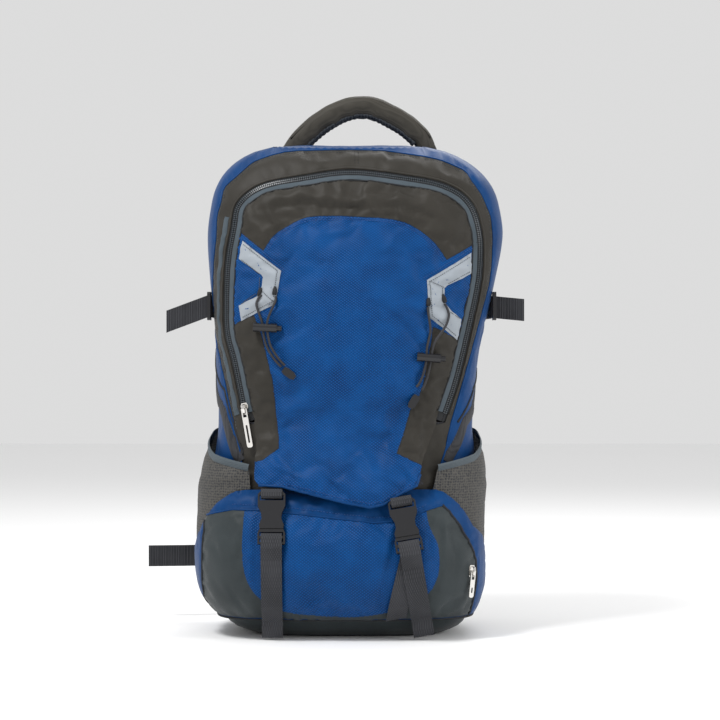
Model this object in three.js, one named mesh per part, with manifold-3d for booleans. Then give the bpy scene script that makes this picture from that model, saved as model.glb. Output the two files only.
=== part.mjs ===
// A hiking daypack: a soft shell on a frame sheet, with a zipped front flap, a lower front pocket,
// mesh side pockets, buckled front straps, bungee cords, a carry handle, shoulder straps and a hip belt.
// Millimetres, +Z up, the front faces -Y, and the origin is the middle of the flat base.
import * as THREE from "three";
import { mergeVertices } from "three/addons/utils/BufferGeometryUtils.js";
import Module from "manifold-3d";

const wasm = await Module();
wasm.setup();

// ---- Driving dimensions ----
const gap = 0.3;
const shellWall = 4;
const flapThickness = 5;
const skinWall = 3;
const baseSeam = 22;
const bagTop = 552;
const topRise = 0.1;
const riseStart = 300;
const frontRoundness = 3.2;
const backRoundness = 5;
const hingeHeight = 240;
const zipHalfWidth = 7;
const pocketTop = 166;
const pocketBackEdge = -25;
const webbingWidth = 25;
const webbingThickness = 1.6;
const cordRadius = 1.4;
const buckleWidth = 30;
const buckleThickness = 9;

// Rows of height, half width, middle x, depth in front of and behind the middle plane.
const bagRows = [
  [0, 104, 4, 62, 84],
  [10, 126, 2, 80, 94],
  [22, 139, 0, 90, 98],
  [50, 155, -4, 100, 102],
  [90, 159, -6, 104, 104],
  [140, 157, -5, 102, 104],
  [175, 151, -3, 98, 104],
  [205, 146, -1, 100, 104],
  [240, 144, 0, 106, 104],
  [300, 147, 2, 112, 104],
  [350, 152, 5, 112, 104],
  [400, 160, 8, 109, 104],
  [450, 166, 11, 103, 104],
  [480, 163, 11, 97, 104],
  [505, 156, 10, 89, 103],
  [525, 141, 8, 78, 99],
  [540, 118, 6, 63, 92],
  [552, 84, 4, 42, 74],
];

// The lower pocket stands proud of the bag: rows of height, extra half width and front depth.
const pocketRows = [
  [22, 4.5, 101],
  [32, 4.5, 114],
  [46, 4.5, 125],
  [70, 4.5, 134],
  [95, 4.5, 137],
  [120, 4.5, 134],
  [140, 4.5, 127],
  [155, 4.5, 118],
  [166, 4.5, 107],
];

// The apron hangs from the flap's hinge line over the top of the pocket.
const apronRows = [
  [145, 0, 135],
  [160, 0, 131],
  [180, 0, 124],
  [200, 0, 117],
  [220, 0, 112],
  [240, 0, 108],
];

// The mesh pockets bulge from the sides: rows of height, extra half width and extra front depth.
const meshRows = [
  [28, 4, 4],
  [100, 6, 5],
  [166, 10, 7],
  [200, 14, 8],
  [232, 16, 9],
];

// ---- Interpolation and surfaces ----
const clamp = (t) => Math.min(1, Math.max(0, t));
const smooth = (t) => clamp(t) ** 2 * (3 - 2 * clamp(t));

// Catmull-Rom through the rows, one value per column after the first.
function rowsAt(rows, z) {
  const last = rows.length - 1;
  const level = Math.min(rows[last][0], Math.max(rows[0][0], z));
  let i = 0;
  while (i < last - 1 && rows[i + 1][0] < level) i += 1;
  const span = rows[i + 1][0] - rows[i][0];
  const t = (level - rows[i][0]) / span;
  const slope = (k, column) => {
    const low = rows[Math.max(0, k - 1)];
    const high = rows[Math.min(last, k + 1)];
    return (high[column] - low[column]) / (high[0] - low[0]);
  };
  return rows[i].slice(1).map((value, n) => {
    const column = n + 1;
    const start = slope(i, column) * span;
    const end = slope(i + 1, column) * span;
    const rise = rows[i + 1][column] - value;
    return value + start * t + (3 * rise - 2 * start - end) * t ** 2 + (start + end - 2 * rise) * t ** 3;
  });
}

const bagAt = (z) => {
  const [width, middle, front, back] = rowsAt(bagRows, z);
  return { width, middle, front, back };
};
const pocketAt = (z) => {
  const bag = bagAt(z);
  const [extra, front] = rowsAt(pocketRows, z);
  return { ...bag, width: bag.width + extra, front };
};
const apronAt = (z) => ({ ...bagAt(z), front: rowsAt(apronRows, z)[1] });
const meshAt = (z) => {
  const bag = bagAt(z);
  const [extra, proud] = rowsAt(meshRows, z);
  return { ...bag, width: bag.width + extra, front: bag.front + proud, back: bag.back - 4 };
};

// The back of the bag stands taller than the front, so heights rise with y towards the top.
const risen = (y, z) => z + topRise * y * smooth((z - riseStart) / (bagTop - riseStart));

// The y of a section's front surface at x and z, pushed out by an offset.
function frontY(sectionAt, x, z, offset = 0) {
  let y = -100;
  for (let pass = 0; pass < 4; pass += 1) {
    const level = z - (risen(y, z) - z);
    const { width, middle, front } = sectionAt(level);
    const across = Math.min(1, Math.abs(x - middle) / (width + offset));
    y = -(front + offset) * (1 - across ** frontRoundness) ** (1 / frontRoundness);
  }
  return y;
}
const bagY = (x, z, offset) => frontY(bagAt, x, z, offset);
const pocketY = (x, z, offset) => frontY(pocketAt, x, z, offset);

// ---- Solids ----
function solid(geometry) {
  const bare = geometry.index ? geometry.toNonIndexed() : geometry.clone();
  bare.deleteAttribute("normal");
  bare.deleteAttribute("uv");
  const merged = mergeVertices(bare, 1e-3);
  return new wasm.Manifold(
    new wasm.Mesh({
      numProp: 3,
      vertProperties: new Float32Array(merged.attributes.position.array),
      triVerts: new Uint32Array(merged.index.array),
    }),
  );
}

function geometryOf(body) {
  const made = body.getMesh();
  const geometry = new THREE.BufferGeometry();
  geometry.setAttribute("position", new THREE.BufferAttribute(made.vertProperties, 3));
  geometry.setIndex(new THREE.BufferAttribute(made.triVerts, 1));
  return geometry;
}

// A closed body of superellipse sections between two heights.
function loft(sectionAt, offset, low, high, around = 40) {
  const inside = bagRows.map((row) => row[0]).filter((z) => z > low + 4 && z < high - 4);
  const levels = [low, ...inside, high];
  const vertices = [];
  for (const z of levels) {
    const inset = offset < 0 ? -offset * smooth((z - 480) / 60) : 0;
    const { width, middle, front, back } = sectionAt(z + inset);
    for (let i = 0; i < around; i += 1) {
      const angle = (i / around) * 2 * Math.PI;
      const power = 2 / (Math.sin(angle) < 0 ? frontRoundness : backRoundness);
      const depth = Math.sin(angle) < 0 ? front : back;
      const x = middle + (width + offset) * Math.sign(Math.cos(angle)) * Math.abs(Math.cos(angle)) ** power;
      const y = (depth + offset) * Math.sign(Math.sin(angle)) * Math.abs(Math.sin(angle)) ** power;
      vertices.push(x, y, risen(y, z));
    }
  }
  const faces = [];
  for (let row = 0; row < levels.length - 1; row += 1) {
    for (let i = 0; i < around; i += 1) {
      const a = row * around + i;
      const b = row * around + ((i + 1) % around);
      faces.push(a, b, b + around, a, b + around, a + around);
    }
  }
  const top = (levels.length - 1) * around;
  for (let i = 1; i < around - 1; i += 1) {
    faces.push(0, i + 1, i);
    faces.push(top, top + i, top + i + 1);
  }
  const geometry = new THREE.BufferGeometry();
  geometry.setAttribute("position", new THREE.Float32BufferAttribute(vertices, 3));
  geometry.setIndex(faces);
  return solid(geometry);
}

const shapeOf = (points) => new THREE.Shape(points.map(([x, y]) => new THREE.Vector2(x, y)));
const extrude = (shape, depth, curveSegments = 8) =>
  new THREE.ExtrudeGeometry(shape, { depth, bevelEnabled: false, curveSegments });

// An outline of x and z, extruded along y from a near to a far value.
function prismY(shape, near, far, curveSegments) {
  return extrude(shape, far - near, curveSegments).rotateX(Math.PI / 2).translate(0, far, 0);
}

// An outline of y and z, extruded along x.
function prismX(shape, from, to, curveSegments) {
  const turn = new THREE.Matrix4().makeBasis(
    new THREE.Vector3(0, 1, 0),
    new THREE.Vector3(0, 0, 1),
    new THREE.Vector3(1, 0, 0),
  );
  return extrude(shape, to - from, curveSegments).applyMatrix4(turn).translate(from, 0, 0);
}

// An outline of x and y, extruded along z.
const prismZ = (shape, from, to, curveSegments) =>
  extrude(shape, to - from, curveSegments).translate(0, 0, from);

function shift(points, distance) {
  return points.map(([x, y], i) => {
    const [beforeX, beforeY] = points[Math.max(0, i - 1)];
    const [afterX, afterY] = points[Math.min(points.length - 1, i + 1)];
    const length = Math.hypot(afterX - beforeX, afterY - beforeY);
    return [x - ((afterY - beforeY) / length) * distance, y + ((afterX - beforeX) / length) * distance];
  });
}

// The outline of a flat band along a path.
const band = (points, thickness) =>
  shapeOf([...shift(points, thickness / 2), ...shift(points, -thickness / 2).reverse()]);

const curvePoints = (points, steps) =>
  new THREE.SplineCurve(points.map(([x, y]) => new THREE.Vector2(x, y)))
    .getSpacedPoints(steps)
    .map((point) => [point.x, point.y]);

function roundedBox(width, height, radius) {
  const x = width / 2;
  const y = height / 2;
  const shape = new THREE.Shape();
  shape.moveTo(-x + radius, -y);
  shape.lineTo(x - radius, -y);
  shape.absarc(x - radius, -y + radius, radius, -Math.PI / 2, 0, false);
  shape.lineTo(x, y - radius);
  shape.absarc(x - radius, y - radius, radius, 0, Math.PI / 2, false);
  shape.lineTo(-x + radius, y);
  shape.absarc(-x + radius, y - radius, radius, Math.PI / 2, Math.PI, false);
  shape.lineTo(-x, -y + radius);
  shape.absarc(-x + radius, -y + radius, radius, Math.PI, 1.5 * Math.PI, false);
  return shape;
}

const box = (low, high) =>
  solid(
    new THREE.BoxGeometry(high[0] - low[0], high[1] - low[1], high[2] - low[2]).translate(
      (low[0] + high[0]) / 2,
      (low[1] + high[1]) / 2,
      (low[2] + high[2]) / 2,
    ),
  );

// ---- Materials ----
const paint = (color, roughness, metalness = 0) =>
  new THREE.MeshStandardMaterial({ color: new THREE.Color(...color), roughness, metalness });
const blue = paint([0.02, 0.1, 0.42], 0.6);
const grey = paint([0.08, 0.08, 0.075], 0.75);
const net = paint([0.16, 0.15, 0.14], 0.8);
const tape = paint([0.09, 0.12, 0.14], 0.8);
const webbing = paint([0.1, 0.1, 0.105], 0.8);
const black = paint([0.012, 0.012, 0.013], 0.3);
const reflective = paint([0.36, 0.39, 0.44], 0.45);
const lining = paint([0.03, 0.03, 0.035], 0.85);
const sheet = paint([0.6, 0.6, 0.6], 0.5);
const aluminium = paint([0.7, 0.7, 0.72], 0.35, 1);
const chrome = paint([0.75, 0.75, 0.75], 0.2, 1);

const pack = new THREE.Group();
function add(name, geometry, material, parent = pack) {
  const mesh = new THREE.Mesh(geometry, material);
  mesh.name = name;
  parent.add(mesh);
  return mesh;
}
const sides = [
  { name: "left", sign: -1 },
  { name: "right", sign: 1 },
];

// ---- The front zip: a U-shaped path up the left, over the top and down the right ----
const zipPath = curvePoints(
  [
    [-106, 241],
    [-111, 256],
    [-121, 305],
    [-130, 340],
    [-131, 376],
    [-129, 419],
    [-123, 455],
    [-117, 482],
    [-92, 501],
    [-48, 510],
    [5, 517],
    [62, 511],
    [108, 502],
    [136, 484],
    [148, 452],
    [149, 415],
    [145, 384],
    [131, 322],
    [121, 283],
    [112, 256],
    [107, 241],
  ],
  44,
);
const closedBelow = (points) => [
  ...points,
  [points[points.length - 1][0], hingeHeight + gap / 2],
  [points[0][0], hingeHeight + gap / 2],
];
const ring = (outer, inner) => shapeOf([...shift(zipPath, outer), ...shift(zipPath, inner).reverse()]);
const through = (shape) => solid(prismY(shape, -220, -30));

// ---- Shell, base and what they hold ----
const bagOuter = loft(bagAt, 0, 0, bagTop);
const bagClear = loft(bagAt, 0.5, -5, bagTop + 1);
const openingCut = through(shapeOf(closedBelow(shift(zipPath, zipHalfWidth + gap))));

function mainShell() {
  const outer = bagOuter.subtract(box([-300, -300, -10], [300, 300, baseSeam]));
  const inner = loft(bagAt, -shellWall, 10, bagTop - shellWall);
  return geometryOf(outer.subtract(inner).subtract(openingCut));
}
add("main_shell", mainShell(), blue);

function basePanel() {
  const outer = bagOuter.intersect(box([-300, -300, -10], [300, 300, baseSeam - gap]));
  const inner = loft(bagAt, -skinWall, skinWall, 60);
  return geometryOf(outer.subtract(inner));
}
add("base_panel", basePanel(), grey);

const sheetSize = { halfWidth: 112, near: 84, far: 86.5, low: 60, high: 500 };
add(
  "frame_sheet",
  prismY(
    roundedBox(2 * sheetSize.halfWidth, sheetSize.high - sheetSize.low, 30),
    sheetSize.near,
    sheetSize.far,
  ).translate(0, 0, (sheetSize.high + sheetSize.low) / 2),
  sheet,
);

const stayPath = [];
for (let i = 0; i <= 16; i += 1) {
  const angle = Math.PI - (i / 16) * Math.PI;
  stayPath.push([80 * Math.cos(angle), 410 + 60 * Math.sin(angle)]);
}
add(
  "frame_stay",
  prismY(band([[-80, 70], [-80, 240], ...stayPath, [80, 240], [80, 70]], 12), 80.5, 83.5),
  aluminium,
);

const sleeve = { halfWidth: 100, near: 52, far: 79, low: 40, high: 370, wall: 2 };
function innerSleeve() {
  const { halfWidth, near, far, low, high, wall } = sleeve;
  const outer = box([-halfWidth, near, low], [halfWidth, far, high]);
  const inner = box([wall - halfWidth, near + wall, low + wall], [halfWidth - wall, far - wall, high + 5]);
  return geometryOf(outer.subtract(inner));
}
add("inner_sleeve", innerSleeve(), lining);

// ---- Front flap, its zip and the reflective patches ----
const skin = (outer, inner) =>
  loft(bagAt, outer, 150, bagTop - 8).subtract(loft(bagAt, inner, 140, bagTop - 4));
const flapSkin = skin(0, -flapThickness);
const tapeSkin = skin(0, -2.5);
const flapBody = new THREE.Group();
pack.add(flapBody);

const flapOutline = shapeOf(closedBelow(shift(zipPath, -zipHalfWidth - gap)));
add("front_flap", geometryOf(flapSkin.intersect(through(flapOutline))), blue, flapBody);
const aboveHinge = box([-300, -300, hingeHeight + 0.8], [300, 300, 600]);
const innerTape = tapeSkin.intersect(through(ring(-gap / 2, -zipHalfWidth))).intersect(aboveHinge);
const outerTape = tapeSkin.intersect(through(ring(zipHalfWidth, gap / 2))).intersect(aboveHinge);
add("zip_tape_inner", geometryOf(innerTape), tape, flapBody);
add("zip_tape_outer", geometryOf(outerTape), tape);

const patchOutlines = {
  left: [
    [-113, 441],
    [-70, 407],
    [-76, 371],
    [-79, 369],
    [-115, 352],
    [-117, 369],
    [-97, 379],
    [-92, 386],
    [-90, 400],
    [-92, 403],
    [-118, 422],
  ],
  right: [
    [139, 428],
    [90, 397],
    [92, 356],
    [124, 331],
    [128, 354],
    [117, 363],
    [109, 373],
    [109, 388],
    [112, 391],
    [139, 405],
  ],
};
const patchSkin = skin(1.5, 0.4);
for (const side of sides) {
  const patch = patchSkin.intersect(through(shapeOf(patchOutlines[side.name])));
  add(`reflective_patch_${side.name}`, geometryOf(patch), reflective, flapBody);
}

// A coil zip's slider: a wedge body with a bail that the pull's cross bar hangs in.
function sliderBody(length) {
  const outline = shapeOf([
    [-3, -length / 2],
    [3, -length / 2],
    [4.5, length / 2 - 3],
    [3, length / 2],
    [-3, length / 2],
    [-4.5, length / 2 - 3],
  ]);
  const bail = band([[-0.5, 5], [-3.6, 4], [-4.6, 0], [-3.6, -4], [-0.5, -5]], 1.1);
  const body = solid(prismY(outline, 0, 2.4));
  return geometryOf(body.add(solid(prismX(bail, -1.5, 1.5))).add(box([-1.5, -0.8, 4], [1.5, 0.4, 5.6])).add(
    box([-1.5, -0.8, -5.6], [1.5, 0.4, -4]),
  ));
}

// A slotted pull tab: its cross bar lies at the origin, along x, and the tab hangs below it.
function pullTab(length) {
  const outline = roundedBox(7, length, 2.4);
  const window = roundedBox(4.2, 8.4, 0.6);
  const slot = roundedBox(2.2, length - 24, 1);
  const plate = solid(prismY(outline, -0.8, 0.8, 4).translate(0, 0, 0.9 - length / 2));
  const eye = solid(prismY(window, -2, 2, 3).translate(0, 0, -5.1));
  const opening = solid(prismY(slot, -2, 2, 4).translate(0, 0, -6 - length / 2));
  const square = plate.subtract(eye).subtract(opening);
  const corners = box([-5, -3, -0.9], [5, 3, 2]);
  const bar = solid(new THREE.CylinderGeometry(0.8, 0.8, 7, 10).rotateZ(Math.PI / 2));
  return geometryOf(square.subtract(corners).add(box([-3.5, -0.8, -1.2], [-2.1, 0.8, 0])).add(
    box([2.1, -0.8, -1.2], [3.5, 0.8, 0]),
  ).add(bar));
}

const sliderLift = 1.2;
function zipPull(prefix, x, z, y, tilt, turn, length, parent) {
  const group = new THREE.Group();
  group.position.set(x, y, z);
  group.rotation.set(0, tilt, turn);
  parent.add(group);
  add(`${prefix}_slider`, sliderBody(13), chrome, group);
  const tab = new THREE.Group();
  tab.position.set(0, -2.2, 0);
  group.add(tab);
  add(`${prefix}_pull`, pullTab(length), chrome, tab);
}
const mainSlider = { x: -111, z: 255, tilt: 0.17, turn: -0.4 };
zipPull(
  "zip",
  mainSlider.x,
  mainSlider.z,
  bagY(mainSlider.x, mainSlider.z, 0) - 2.4 - sliderLift,
  -mainSlider.tilt,
  mainSlider.turn,
  44,
  flapBody,
);

// ---- Lower pocket, its zip slider and the apron above it ----
function lowerPocket() {
  const outer = loft(pocketAt, 0, baseSeam + gap, pocketTop);
  const inner = loft(pocketAt, -skinWall, baseSeam + gap + skinWall, pocketTop - skinWall);
  const front = box([-300, -300, 0], [300, pocketBackEdge, 300]);
  return geometryOf(outer.subtract(inner).subtract(bagClear).intersect(front));
}
add("lower_pocket", lowerPocket(), blue);

const pocketSlider = { x: 140, z: 76, tilt: 0.1, turn: 0.75 };
zipPull(
  "pocket_zip",
  pocketSlider.x,
  pocketSlider.z,
  pocketY(pocketSlider.x, pocketSlider.z, 0) - 6.2,
  pocketSlider.tilt,
  pocketSlider.turn,
  30,
  pack,
);

const apronOutline = [
  [-101, hingeHeight - gap / 2],
  [-96, 215],
  [-88, 186],
  [-93, 172],
  [-50, 169],
  [-16, 158],
  [12, 150],
  [34, 148],
  [52, 158],
  [66, 168],
  [86, 173],
  [79, 188],
  [88, 215],
  [101, hingeHeight - gap / 2],
];
function frontApron() {
  const cover = loft(apronAt, 0, 120, 245).subtract(loft(apronAt, -2.2, 115, 250));
  return geometryOf(cover.intersect(through(shapeOf(apronOutline))).subtract(bagClear));
}
add("front_apron", frontApron(), blue);

// ---- Mesh side pockets, open at the top ----
const meshOutline = [
  [pocketBackEdge + gap, 30],
  [pocketBackEdge + gap, pocketTop + 0.6],
  [-97, pocketTop + 0.6],
  [-97, 188],
  [-30, 214],
  [80, 228],
  [80, 30],
];
const meshHollow = [
  [pocketBackEdge + 4, 34],
  [pocketBackEdge + 4, pocketTop + 4],
  [-94, pocketTop + 4],
  [-94, 260],
  [77, 260],
  [77, 34],
];
function meshPocket(sign) {
  const outerEdge = sign < 0 ? [-200, -102] : [102, 200];
  const innerEdge = sign < 0 ? [-200, -105] : [105, 200];
  const block = loft(meshAt, 0, 25, 235)
    .intersect(solid(prismX(shapeOf(meshOutline), ...outerEdge)))
    .subtract(bagClear);
  const hollow = loft(meshAt, -2.5, 20, 240).intersect(solid(prismX(shapeOf(meshHollow), ...innerEdge)));
  return geometryOf(block.subtract(hollow));
}
for (const side of sides) add(`mesh_pocket_${side.name}`, meshPocket(side.sign), net);

// ---- Side-release buckles ----
// The socket's mouth is at z = 0 and its strap bar is at the top; the plug's arms reach up into it.
function buckleSocket() {
  const half = buckleWidth / 2;
  const outline = shapeOf([
    [-13, 0],
    [13, 0],
    [13.5, 4],
    [10.8, 11],
    [11.2, 17],
    [half, 25],
    [half, 38],
    [half - 3, 41],
    [3 - half, 41],
    [-half, 38],
    [-half, 25],
    [-11.2, 17],
    [-10.8, 11],
    [-13.5, 4],
  ]);
  const body = solid(prismY(outline, -buckleThickness / 2, buckleThickness / 2));
  const cavity = box([-9.6, -2.9, -1], [9.6, 2.9, 27]);
  const slot = box([-13, -6, 31], [13, 6, 37]);
  return geometryOf(body.subtract(cavity).subtract(slot));
}

function bucklePlug() {
  const half = buckleWidth / 2;
  const outline = new THREE.Shape();
  outline.moveTo(-13, -gap);
  outline.lineTo(-half, -5);
  outline.lineTo(-half, -17);
  outline.lineTo(-10, -17.5);
  outline.quadraticCurveTo(0, -24, 10, -17.5);
  outline.lineTo(half, -17);
  outline.lineTo(half, -5);
  outline.lineTo(13, -gap);
  const body = solid(prismY(outline, -3.5, 3.5, 6));
  const upperSlot = box([-13, -6, -8], [13, 6, -4]);
  const lowerSlot = box([-13, -6, -15], [13, 6, -11]);
  const tongue = box([-2, -2, -1], [2, 2, 20]);
  const arm = [
    [5.5, -1],
    [9, -1],
    [9, 22],
    [7, 25],
    [6, 25],
  ];
  const mirrored = arm.map(([x, z]) => [-x, z]).reverse();
  return geometryOf(
    body
      .subtract(upperSlot)
      .subtract(lowerSlot)
      .add(tongue)
      .add(solid(prismY(shapeOf(arm), -2, 2)))
      .add(solid(prismY(shapeOf(mirrored), -2, 2))),
  );
}

// Webbing through a bar: up the inner side, round the bar, and back along the outer side.
// A leaning buckle's tail hangs in line with it, and its sewn leg runs back the other way by the skew.
const buckles = {
  left: { x: -80, z: 125, standOff: 6.5, lean: 0, skew: 0, legDrop: 94 },
  right: { x: 68, z: 117.5, standOff: 12.5, lean: -0.17, skew: 0.46, legDrop: 90 },
};
const skewStart = 20;
const buckleTilt = -0.25;
for (const side of sides) {
  const { x, z, standOff, lean, skew, legDrop } = buckles[side.name];
  const group = new THREE.Group();
  group.position.set(x, pocketY(x, z, 0) - standOff, z);
  group.rotation.set(buckleTilt, lean, 0, "YXZ");
  pack.add(group);
  add(`buckle_socket_${side.name}`, buckleSocket(), black, group);
  add(`buckle_plug_${side.name}`, bucklePlug(), black, group);

  // The loop holds the socket: from under the apron, through the slot, round the bar and back.
  const loopWidth = 11.5;
  const loop = band(
    [[14, 47], [8, 43.5], [6.2, 39.5], [5.6, 35.8], [3, 34], [-3, 34], [-5.6, 35.8], [-6.2, 39.5],
      [-5.2, 42.4], [0, 43.8], [3.5, 44.6]],
    webbingThickness,
  );
  add(`buckle_loop_${side.name}`, prismX(loop, -loopWidth, loopWidth), webbing, group);

  // The strap is sewn into the base seam, turns round the plug's bar, and its tail hangs in front.
  const face = (drop, out, aside) => {
    const middle = x - drop * Math.sin(lean) - aside * Math.max(0, drop - skewStart);
    return Math.min(...[-12, 0, 12].map((across) => pocketY(middle + across, z - drop, out)));
  };
  const down = (drop, out, aside = 0) => [face(drop, out, aside) - (pocketY(x, z, 0) - standOff), -drop];
  const local = (points) =>
    points.map(([y, height]) => [
      y * Math.cos(buckleTilt) + height * Math.sin(buckleTilt),
      height * Math.cos(buckleTilt) - y * Math.sin(buckleTilt),
    ]);
  const fall = [34, 50, 64, 76, 86];
  const inner = local([...fall, legDrop].map((drop) => down(drop, 2.2, skew))).reverse();
  const outer = local([...fall, 94, 104, z - 3].map((drop) => down(drop, drop > 94 ? 9 : 5.4)));
  const turn = [[5.2, -20], [5.2, -10], [4.9, -7.4], [3.4, -6], [-3.4, -6], [-4.9, -7.4], [-5.2, -10],
    [-5.2, -18]];
  const strapHalf = 11.5;
  const leg = solid(prismX(band([...inner, ...turn], webbingThickness), -strapHalf, strapHalf)).warp((v) => {
    v[0] -= skew * Math.max(0, -v[2] - skewStart);
  });
  const tail = solid(
    prismX(band([[-5.2, -10], [-5.2, -18], [-5.2, -22], ...outer], webbingThickness), -strapHalf, strapHalf),
  );
  add(`front_strap_${side.name}`, geometryOf(leg.add(tail)), webbing, group);
}

// ---- Bungee cords, their locks and end clamps, on the flap ----
const cordLift = { tunnel: 3, lock: 8 };
const cords = {
  left: {
    inner: [[-92, 381], [-96, 376], [-97.5, 370], [-94.5, 360], [-91.6, 352], [-90.5, 344.5], [-89, 335],
      [-87, 327], [-83, 318], [-76, 308], [-70, 301.5]],
    outer: [[-76, 379], [-76.5, 374], [-79, 368], [-83, 359], [-85.2, 352], [-85.5, 344.5], [-84.5, 335],
      [-81.5, 324], [-75.5, 314], [-69.5, 306.5], [-66, 303]],
    lock: { x: -88, z: 344.5, turn: 0.05 },
    end: { x: -64.5, z: 296.5, turn: -0.92 },
  },
  right: {
    inner: [[110, 371], [112.5, 366], [114.5, 359], [112, 349], [106, 339], [100, 331], [96.5, 322],
      [94.8, 311.5], [93.5, 303], [91, 292], [88, 283], [84.5, 276]],
    outer: [[91, 367], [91.5, 361], [93, 351], [94, 341], [92, 331], [90, 322], [89.6, 311.5], [88.5, 303],
      [85.5, 292], [81.5, 283], [78.5, 279.5]],
    lock: { x: 92.3, z: 311.5, turn: 0.08 },
    end: { x: 77.5, z: 266.5, turn: 0.55 },
  },
};

function cordTube(points) {
  const path = new THREE.CatmullRomCurve3(
    points.map(([x, z], i) => {
      const lift = cordLift.tunnel + (cordLift.lock - cordLift.tunnel) * smooth(i / 3);
      return new THREE.Vector3(x, bagY(x, z, 0) - lift, z);
    }),
  );
  const section = new THREE.Shape();
  section.absarc(0, 0, cordRadius, 0, 2 * Math.PI, false);
  return new THREE.ExtrudeGeometry(section, { steps: 16, curveSegments: 4, extrudePath: path });
}

// A barrel lock: two cords pass through it, and a sprung button stands out of one end.
const lockRadius = 5;
const lockHalf = 13;
function lockBody() {
  const barrel = solid(
    new THREE.CylinderGeometry(lockRadius, lockRadius, 2 * lockHalf, 16).rotateZ(Math.PI / 2),
  );
  const cordHole = box([-6.4, -2.4, -8], [6.4, 2.4, 8]);
  const bore = solid(
    new THREE.CylinderGeometry(3.3, 3.3, 6, 16).rotateZ(Math.PI / 2).translate(lockHalf - 2.5, 0, 0),
  );
  return geometryOf(barrel.subtract(cordHole).subtract(bore));
}
function lockButton() {
  return new THREE.CylinderGeometry(3, 3, 5.6, 14).rotateZ(Math.PI / 2).translate(lockHalf + 2.4, 0, 0);
}
function cordEnd() {
  const outline = shapeOf([[-3.4, 4], [3.4, 4], [4.4, 0], [4.2, -8], [2.6, -12], [-2.6, -12], [-4.2, -8], [-4.4, 0]]);
  return prismY(outline, -3, 3);
}
for (const side of sides) {
  const { inner, outer, lock, end } = cords[side.name];
  add(`cord_${side.name}_inner`, cordTube(inner), black, flapBody);
  add(`cord_${side.name}_outer`, cordTube(outer), black, flapBody);
  const lockGroup = new THREE.Group();
  lockGroup.position.set(lock.x, bagY(lock.x, lock.z, 0) - cordLift.lock, lock.z);
  lockGroup.rotation.set(0, lock.turn, 0);
  flapBody.add(lockGroup);
  add(`cord_lock_${side.name}`, lockBody(), black, lockGroup);
  add(`cord_lock_button_${side.name}`, lockButton(), black, lockGroup);
  const endMesh = add(`cord_end_${side.name}`, cordEnd(), black, flapBody);
  endMesh.position.set(end.x, bagY(end.x, end.z, 0) - cordLift.lock, end.z);
  endMesh.rotation.set(0, end.turn, 0);
}

// ---- Ladder locks ----
// A flat frame in the x-z plane, with a slot each side of its middle bar.
function ladderLock() {
  const frame = solid(prismY(roundedBox(32, 23, 3), -1.8, 1.8, 3));
  const slot = (z) => box([-13.2, -4, z - 2.6], [13.2, 4, z + 2.6]);
  return geometryOf(frame.subtract(slot(5)).subtract(slot(-5)));
}

// ---- Upper side straps: along the side, through the ladder lock, and a loose tail outwards ----
const sideStrap = { z: 370, lockY: -34, tail: { left: 46, right: 34 } };
for (const { name, sign } of sides) {
  const surface = (y, offset) => {
    const { width, middle, front, back } = bagAt(sideStrap.z + 16);
    const [depth, power] = y < 0 ? [front, frontRoundness] : [back, backRoundness];
    const share = (1 - (Math.abs(y) / depth) ** power) ** (1 / power);
    return middle + sign * ((width + offset) * share);
  };
  const lockX = surface(sideStrap.lockY, 4.6);
  const group = new THREE.Group();
  group.position.set(lockX, sideStrap.lockY, sideStrap.z);
  group.rotation.set(0, 0, Math.PI / 2);
  const turned = new THREE.Group();
  turned.rotation.set(0, Math.PI / 2, 0);
  group.add(turned);
  pack.add(group);
  add(`side_buckle_${name}`, ladderLock(), black, turned);

  const slotY = sideStrap.lockY + 5;
  const out = (distance) => lockX + sign * distance;
  const path = [
    [surface(75, 1.6), 75],
    [surface(60, 1.6), 60],
    [surface(30, 1.6), 30],
    [surface(0, 1.6), 0],
    [out(-3.7), slotY + 5],
    [out(-2.6), slotY + 1.2],
    [out(0), slotY],
    [out(3), slotY],
    [out(14), slotY - 1],
    [out(sideStrap.tail[name]), slotY - 4],
  ];
  const half = webbingWidth / 2;
  add(
    `side_strap_${name}`,
    prismZ(band(path, webbingThickness), sideStrap.z - half, sideStrap.z + half),
    webbing,
  );
}

// ---- Carry handle ----
const handle = { x: 22, y: 76, thickness: 27, depth: 26 };
const handleGap = 8;
const handlePath = curvePoints(
  [[-66, 550], [-58, 563], [-39, 581], [-21, 594], [-3, 603], [15, 607], [34, 605], [55, 595], [73, 584],
    [89, 569], [98, 552]],
  24,
);
function carryHandle() {
  const arch = solid(
    prismY(band(handlePath, handle.thickness), handle.y - handle.depth / 2, handle.y + handle.depth / 2),
  );
  return geometryOf(arch.subtract(loft(bagAt, handleGap, 400, bagTop + handleGap)));
}
add("carry_handle", carryHandle(), grey);

// ---- Back padding ----
const backFace = 104 + gap;
add(
  "back_pad",
  prismY(roundedBox(190, 250, 24), backFace, backFace + 12, 5).translate(0, 0, 320),
  net,
);
add("lumbar_pad", prismY(roundedBox(92, 110, 22), backFace, backFace + 14, 5).translate(0, 0, 104), net);

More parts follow.
